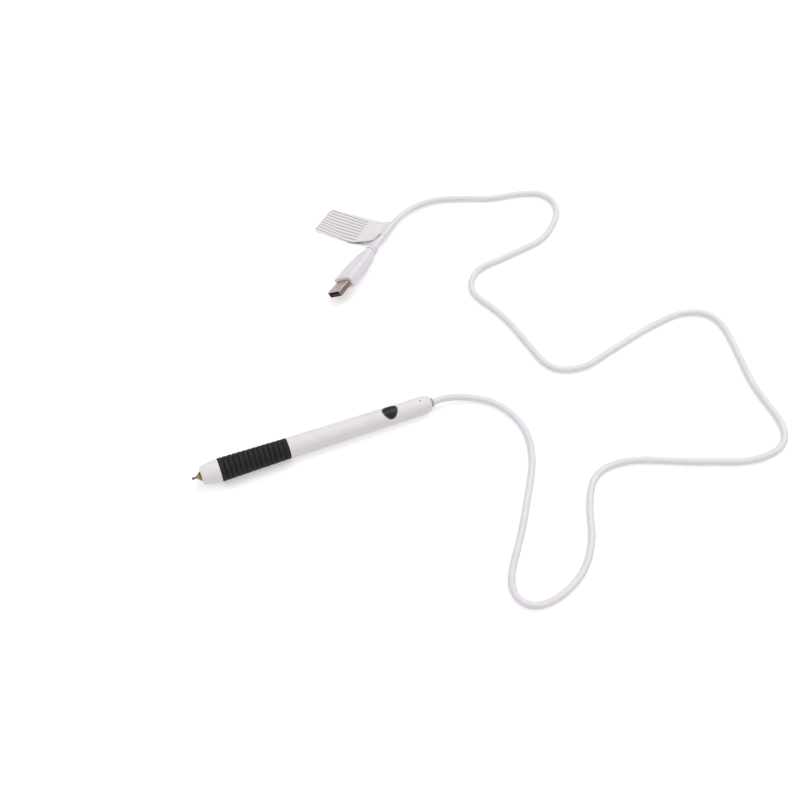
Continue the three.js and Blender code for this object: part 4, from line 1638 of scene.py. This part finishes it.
    def sleeve(self) -> bpy.types.Object:
        """Builds the shell as a wall between two box grids, with two windows in the side towards −Z.

        Towards the lip the shell is narrower by the pinch, and its inside by a share of that.

        Returns:
            The dressed piece.
        """
        (width, height), wall = self.shell, self.wall
        start, stop = self.window
        low, high = self.window_side
        marks = np.array([low, high]) / (width / 2 - self.shell_corner)
        half = np.concatenate([[0.0, 0.14], marks, [0.9]])
        section = BoxSection(tuple(np.unique(np.concatenate([-half, half]))), (-0.6, 0.0, 0.6), 7)
        before, behind = self.plain_rows
        rows = np.array([*self.lip, *before, start, stop, *behind, self.length])
        drop = np.concatenate([self.pinch, np.zeros(len(rows) - len(self.pinch))])
        corner = np.full(len(rows), self.shell_corner)
        outer = section.rings(rows, width - drop, height - drop, corner)
        hollow = (size - 2 * wall - self.inner_pinch * drop for size in (width, height))
        inner = section.rings(rows, *hollow, corner - wall)
        middle = (outer[1:, 1:] + outer[:-1, :-1]) / 2
        x, y, z = middle[..., 0], np.abs(middle[..., 1]), middle[..., 2]
        under = z < 0.9 * (-height / 2 + wall)
        opening = (x > start) & (x < stop) & (y > low) & (y < high) & under
        made = walled("plug_metal_shell", outer, inner, ~opening, PLUG)
        return seat(made, NICKEL, PLUG, Body.PEN, "usb_shell")


@dataclass
class CordFlag:
    """A film folded round the cord, its two leaves stuck together and lying out to the side.

    A reach is a distance from the cord's middle out along the leaves. One edge of the film lies
    towards the plug, the other away from it.

    Attributes:
        reach: Reach of the film's end.
        corner: Rounding of its two corners.
        wrap: Half the length of cord that the fold is wrapped round.
        film: Thickness of the film as drawn.
        ply: Half the distance between the leaves' middles where they are stuck together.
        cord_radius: The cord's radius.
        slack: Room between the cord and the fold.
        rest: Height of the leaves' middle where they lie on the floor.
        fall_start: Reach where the leaves start to come down.
        fall_away: Reach where the edge away from the plug is down.
        fall_plug: Reaches where the edge towards the plug is down, for the upper and the lower leaf.
        sag: How hollow the way down is.
        opening: Angle from the leaves at which the film leaves the cord, in degrees.
        meet: Reach where the leaves meet.
        follow: Reach up to which the film keeps to the cord's bend, and how far that fades over.
        near_cord: How much of the cord's line around the flag is looked at.
        away_edge: Reach and place along the cord of points on the edge away from the plug.
        plug_edge: The same for the edge towards the plug.
        end_rows: Distances of the mesh's rows from the film's end.
        plain_rows: First and last reach of the rows on three stretches, and how many; the last
            stretch ends at the cord.
        fold_rows: Rows round the cord.
        columns: Points across the film.
    """

    reach: float = 50.3
    corner: float = 3.0
    wrap: float = 7.75
    film: float = 0.16
    ply: float = 0.1
    cord_radius: float = 2.25
    slack: float = 0.03
    rest: float = 0.42
    fall_start: float = 3.2
    fall_away: float = 60.0
    fall_plug: tuple[float, float] = (24.5, 10.5)
    sag: float = 1.25
    opening: float = 50.0
    meet: float = 5.2
    follow: tuple[float, float] = (2.6, 18.0)
    near_cord: float = 16.0
    away_edge: tuple[tuple[float, float], ...] = ((2.4, -7.75), (10.25, -5.2), (20.5, -4.2), (50.3, -1.7))
    plug_edge: tuple[tuple[float, float], ...] = ((2.9, 7.75), (5.2, 14.1), (20.5, 20.2), (50.3, 22.7))
    end_rows: tuple[float, ...] = (0.0, 0.08, 0.3, 0.7, 1.3, 2.1, 3.0)
    plain_rows: tuple[tuple[float, float | None, int], ...] = (
        (46.0, 22.0, 14), (20.5, 6.0, 22), (5.5, None, 14),
    )
    fold_rows: int = 42
    columns: int = 28

    def edges(self, reach: Array) -> tuple[Array, Array]:
        """The film's two edges at a reach: lines through their points, rounded at the far corners.

        Args:
            reach: Reaches on the film.

        Returns:
            Places along the cord of the edge away from the plug and of the one towards it.
        """
        away, plug = (np.interp(reach, *np.array(edge).T) for edge in (self.away_edge, self.plug_edge))
        into = np.clip(reach - (self.reach - self.corner), 0.0, self.corner)
        drop = self.corner - np.sqrt(np.maximum(self.corner**2 - into**2, 0.0))
        return away + drop, plug - drop

    def section(self) -> Array:
        """The folded film's middle line, as [reach, height above the leaves' middle].

        From the far end the lower leaf comes in, leaves the upper one by a cubic that ends level
        with the fold's slope, goes once round the cord as a circle, and comes back as the upper leaf.

        Returns:
            The line, (count, 2).
        """
        angle = np.radians(self.opening)
        radius = self.cord_radius + self.film / 2 + self.slack
        touch, height = radius * np.cos(angle), radius * np.sin(angle)
        stretches = [np.linspace(first, last or touch, count) for first, last, count in self.plain_rows]
        x = np.concatenate([self.reach - np.array(self.end_rows), *stretches])
        t = np.clip((x - touch) / (self.meet - touch), 0.0, 1.0)
        slope = -(self.meet - touch) / np.tan(angle)
        from_cord, bend, to_leaf = 2 * t**3 - 3 * t**2 + 1, t**3 - 2 * t**2 + t, 3 * t**2 - 2 * t**3
        lift = from_cord * height + bend * slope + to_leaf * self.ply
        round_cord = np.linspace(-angle, angle - 2 * np.pi, self.fold_rows)[1:-1]
        circle = radius * np.stack([np.cos(round_cord), np.sin(round_cord)], -1)
        lower, upper = np.stack([x, -lift], -1), np.stack([x, lift], -1)[::-1]
        return np.concatenate([lower, circle, upper])

    def sheet(self, section: Array, line: Array) -> tuple[Array, Array]:
        """The film's middle surface.

        Each point of the section is spread between the film's edges and moved with the cord's
        centreline near the fold. Its height above the floor is multiplied by
        (1 − share of the way down) ^ sag. The edge towards the plug comes down sooner than the
        other, so the film lies twisted, and its lower leaf soonest, so a gap shows beside the cord.

        Args:
            section: The folded film's middle line.
            line: The cord's centreline, in the part's frame.

        Returns:
            The points, and each one's place along the cord.
        """
        path = FLAG.local(line)
        path = path[np.hypot(path[:, 0], path[:, 1]) < self.near_cord]
        path = path[np.argsort(path[:, 1])]
        reach = section[:, :1]
        away, plug = self.edges(reach)
        share = np.linspace(0.0, 1.0, self.columns)
        y = away + (plug - away) * share
        held = np.clip(y, -self.wrap, self.wrap)
        centre_x, centre_z = (np.interp(held, path[:, 1], path[:, k]) for k in (0, 2))
        kept, fading = self.follow
        x = reach + centre_x * (1.0 - ease((reach - kept) / fading))
        upper, lower = self.fall_plug
        down_at = self.fall_away + (np.where(section[:, 1:] < 0.0, lower, upper) - self.fall_away) * share
        down = np.clip((reach - self.fall_start) / (down_at - self.fall_start), 0.0, 1.0)
        middle = self.rest + (centre_z - self.rest) * (1.0 - down) ** self.sag
        return np.stack([x, y, middle + section[:, 1:]], -1), y

    def build(self, line: Array) -> bpy.types.Object:
        """Builds the film as a thin closed skin, half its thickness off the sheet on both sides.

        The map runs along the folded film and across it on the outer face, and stays at 0 along the
        film on the inner one.

        Args:
            line: The cord's centreline, in the part's frame.

        Returns:
            The dressed piece.
        """
        section = self.section()
        grid, y = self.sheet(section, line)
        along, over = np.gradient(grid, axis=0), np.gradient(grid, axis=1)
        thick = np.full(len(grid), self.film / 2)
        thick[[0, -1]] = 0.0
        off = unit(np.cross(over, along)) * thick[:, None, None]
        closed = np.concatenate([grid + off, (grid - off)[:, ::-1], (grid + off)[:, :1]], axis=1)
        film_along = np.concatenate([[0.0], np.cumsum(np.linalg.norm(np.diff(section, axis=0), axis=1))])
        outside = np.concatenate([np.zeros(self.columns), np.ones(self.columns), [0.0]])
        v = np.concatenate([y, y[:, ::-1], y[:, :1]], axis=1)
        uv = np.stack([film_along[:, None] * outside, v], -1) / MAP_UNIT
        area = np.linalg.norm(np.cross(along, over), axis=-1).sum() * METRES**2
        log.info("cord_flag_film: folded length %.1f mm, cut area %.6f m2", film_along[-1], area)
        made = skin("cord_flag_film", closed, FLAG, uv)
        return seat(made, FILM, FLAG, Body.PEN, "cord_tag")


@dataclass
class InnerWorks:
    """CAD pieces that keep their own shape and get their finish here.

    Attributes:
        pen: The pieces inside the pen, by finish.
        plug: The pieces inside the plug, by finish.
    """

    pen: dict[Finish, tuple[str, ...]] = field(
        default_factory=lambda: {
            BRASS: ("nib_holder",),
            CERAMIC: ("heater_rod", "front_spacer", "rear_spacer"),
            STEEL: ("heat_shield", "cord_clamp"),
            WHITE_PLASTIC: ("grip_core",),
            BOARD: ("circuit_board",),
            RESIN: ("led",),
            CHIP: ("resistor", "fuse"),
            RED_WIRE: ("lead_wire_supply", "core_wire_supply"),
            BLACK_WIRE: ("lead_wire_return", "core_wire_return"),
            JACKET: ("cord_tail",),
        }
    )
    plug: dict[Finish, tuple[str, ...]] = field(
        default_factory=lambda: {
            BLACK_PLASTIC: ("usb_insert",),
            GOLD: CONTACTS,
        }
    )

    def dress(self) -> None:
        """Puts each finish into its nodes' material slots."""
        for place, finishes in ((PEN, self.pen), (PLUG, self.plug)):
            for finish, names in finishes.items():
                for name in names:
                    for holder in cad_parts[name].material_slots:
                        holder.material = finish.material(place)
                    log.info("%s: dressed in %s", name, finish.slot)


# The studio


@dataclass
class Studio:
    """Camera, floor and soft light.

    Attributes:
        eye: The camera's place.
        down: How far the camera looks down, in degrees.
        heading: How far it looks to the left of +Y, in degrees.
        lens: Its focal length.
        sensor: Its sensor's width.
        floor_half: Half the floor's side.
        floor_level: Height of the floor.
        floor_seen: The floor's grey and glow as the camera sees it.
        floor_lit: The same as the object sees it.
        sky: The sky's strength at the horizon and high up.
        sky_full: Height from which it is at its strongest, from 0 to 1.
        tone: The sky's colour.
        dim_side: How much weaker the sky is low on the right.
        right_share: How far to the right this starts and is full, from 0 to 1.
        low_share: Heights up to which it is full and gone, from 0 to 1.
        key: Power of the large soft light, in watts.
        key_size: Side of that light, in metres.
        key_far: Its distance, in metres.
        key_lean: How far it leans to the right and away, for each metre up.
        middle: Where it points, in metres.
    """

    eye: Point = (-90.46, -376.16, 598.0)
    down: float = 55.0
    heading: float = -21.56
    lens: float = 50.0
    sensor: float = 36.0
    floor_half: float = 6000.0
    floor_level: float = -0.05
    floor_seen: tuple[float, float] = (0.8, 0.305)
    floor_lit: tuple[float, float] = (0.72, 0.27)
    sky: tuple[float, float] = (0.21, 1.03)
    sky_full: float = 0.6
    tone: Color = (1.0, 0.995, 0.99)
    dim_side: float = 0.32
    right_share: tuple[float, float] = (0.3, 0.85)
    low_share: tuple[float, float] = (0.12, 0.5)
    key: float = 6.0
    key_size: float = 0.9
    key_far: float = 1.5
    key_lean: tuple[float, float] = (0.34, 0.5)
    middle: Point = (0.1, 0.0, 0.0)

    def level_directions(self) -> tuple[Array, Array]:
        """The level directions to the picture's right and away from the camera."""
        turn = np.radians(self.heading)
        return np.array([np.cos(turn), np.sin(turn), 0.0]), np.array([-np.sin(turn), np.cos(turn), 0.0])

    def camera(self) -> None:
        """Places the camera at the photograph's viewing angle."""
        data = bpy.data.cameras.new("camera")
        data.lens, data.sensor_width, data.clip_start, data.clip_end = self.lens, self.sensor, 0.01, 50.0
        camera = bpy.data.objects.new("camera", data)
        camera.location = [c * METRES for c in self.eye]
        camera.rotation_euler = np.radians([90.0 - self.down, 0.0, self.heading]).tolist()
        bpy.context.scene.collection.objects.link(camera)
        bpy.context.scene.camera = camera

    def floor(self) -> None:
        """Lays a wide pale floor just under the object.

        As the camera sees it, it is part grey and part glow, so that it stays white and holds soft
        shadows; on the object it casts less light.
        """
        square = np.array([(-1, -1), (1, -1), (1, 1), (-1, 1)]) * self.floor_half
        corners = np.concatenate([square, np.full((4, 1), self.floor_level)], -1)
        made = build_mesh("floor", corners, np.array([[0, 1, 2, 3]]), FRAME)
        surface = bpy.data.materials.new("floor_white")
        surface.use_nodes = True
        tree = Tree(surface.node_tree)
        seen = tree.add("LightPath").outputs["Is Camera Ray"]
        (grey, glow), (pale, faint) = self.floor_seen, self.floor_lit
        color = tree.blend(seen, (pale, pale, pale, 1.0), (grey, grey, grey, 1.0))
        strength = tree.math("MULTIPLY_ADD", seen, glow - faint, faint)
        white = {"Base Color": color, "Roughness": 0.7, "Specular IOR Level": 0.2}
        shine = {"Emission Color": (1.0, 1.0, 1.0, 1.0), "Emission Strength": strength}
        shader = tree.add("BsdfPrincipled", white | shine)
        tree.add("OutputMaterial", {"Surface": shader.outputs[0]})
        made.data.materials.append(surface)

    def sky_light(self) -> None:
        """Hangs a pale sky, weaker low down and weakest low on the right; the camera sees it white."""
        world = bpy.data.worlds.new("studio")
        bpy.context.scene.world = world
        world.use_nodes = True
        tree = Tree(world.node_tree)
        x, y, height = tree.split(tree.add("TexCoord").outputs["Generated"])
        dome = tree.step(height, 0.0, self.sky_full, *self.sky)
        across = self.level_directions()[0]
        right = tree.math("MULTIPLY_ADD", x, across[0], tree.math("MULTIPLY", y, across[1]))
        sideways = tree.step(right, *self.right_share)
        low = tree.step(height, *self.low_share, self.dim_side, 0.0)
        lit = tree.math("SUBTRACT", dome, tree.math("MULTIPLY", sideways, low))
        seen = tree.add("LightPath").outputs["Is Camera Ray"]
        strength = tree.math("MAXIMUM", seen, lit)
        sky = tree.add("Background", {"Color": (*self.tone, 1.0), "Strength": strength})
        tree.add("OutputWorld", {"Surface": sky.outputs[0]})

    def key_light(self) -> None:
        """Hangs one large soft light, leaning to the right and away."""
        data = bpy.data.lights.new("key", "AREA")
        data.shape, data.size, data.energy = "SQUARE", self.key_size, self.key
        key = bpy.data.objects.new("key", data)
        right, away = self.level_directions()
        aim = unit(self.key_lean[0] * right + self.key_lean[1] * away + np.array([0.0, 0.0, 1.0]))
        key.location = (np.array(self.middle) + self.key_far * aim).tolist()
        key.rotation_euler = Matrix(np.stack(self.facing(aim), -1).tolist()).to_euler()
        bpy.context.scene.collection.objects.link(key)
        bpy.context.scene.view_settings.view_transform = "Standard"

    @staticmethod
    def facing(aim: Array) -> tuple[Array, Array, Array]:
        """Three axes whose third points along aim, so that a light shines against it."""
        side = unit(np.cross([0.0, 1.0, 0.0], aim))
        return side, np.cross(aim, side), aim


def main() -> None:
    """Builds the studio, the cord and what is on it, then the pen and what is inside."""
    logging.basicConfig(level=logging.INFO, format="%(message)s")
    studio = Studio()
    studio.camera()
    studio.floor()
    studio.sky_light()
    studio.key_light()

    cord, plug = Cord(), Plug()
    line = cord.line()
    jacket = cord.build(line)
    body, shell = plug.body(), plug.sleeve()
    flag = CordFlag().build(line)

    tip, barrel = HeatedTip(), Barrel()
    tip.nib()
    tip.washer()
    NoseCone().build()
    Grip().build()
    barrel.shell()
    barrel.cord_bush()
    InnerWorks().dress()


if __name__ == "__main__":
    main()
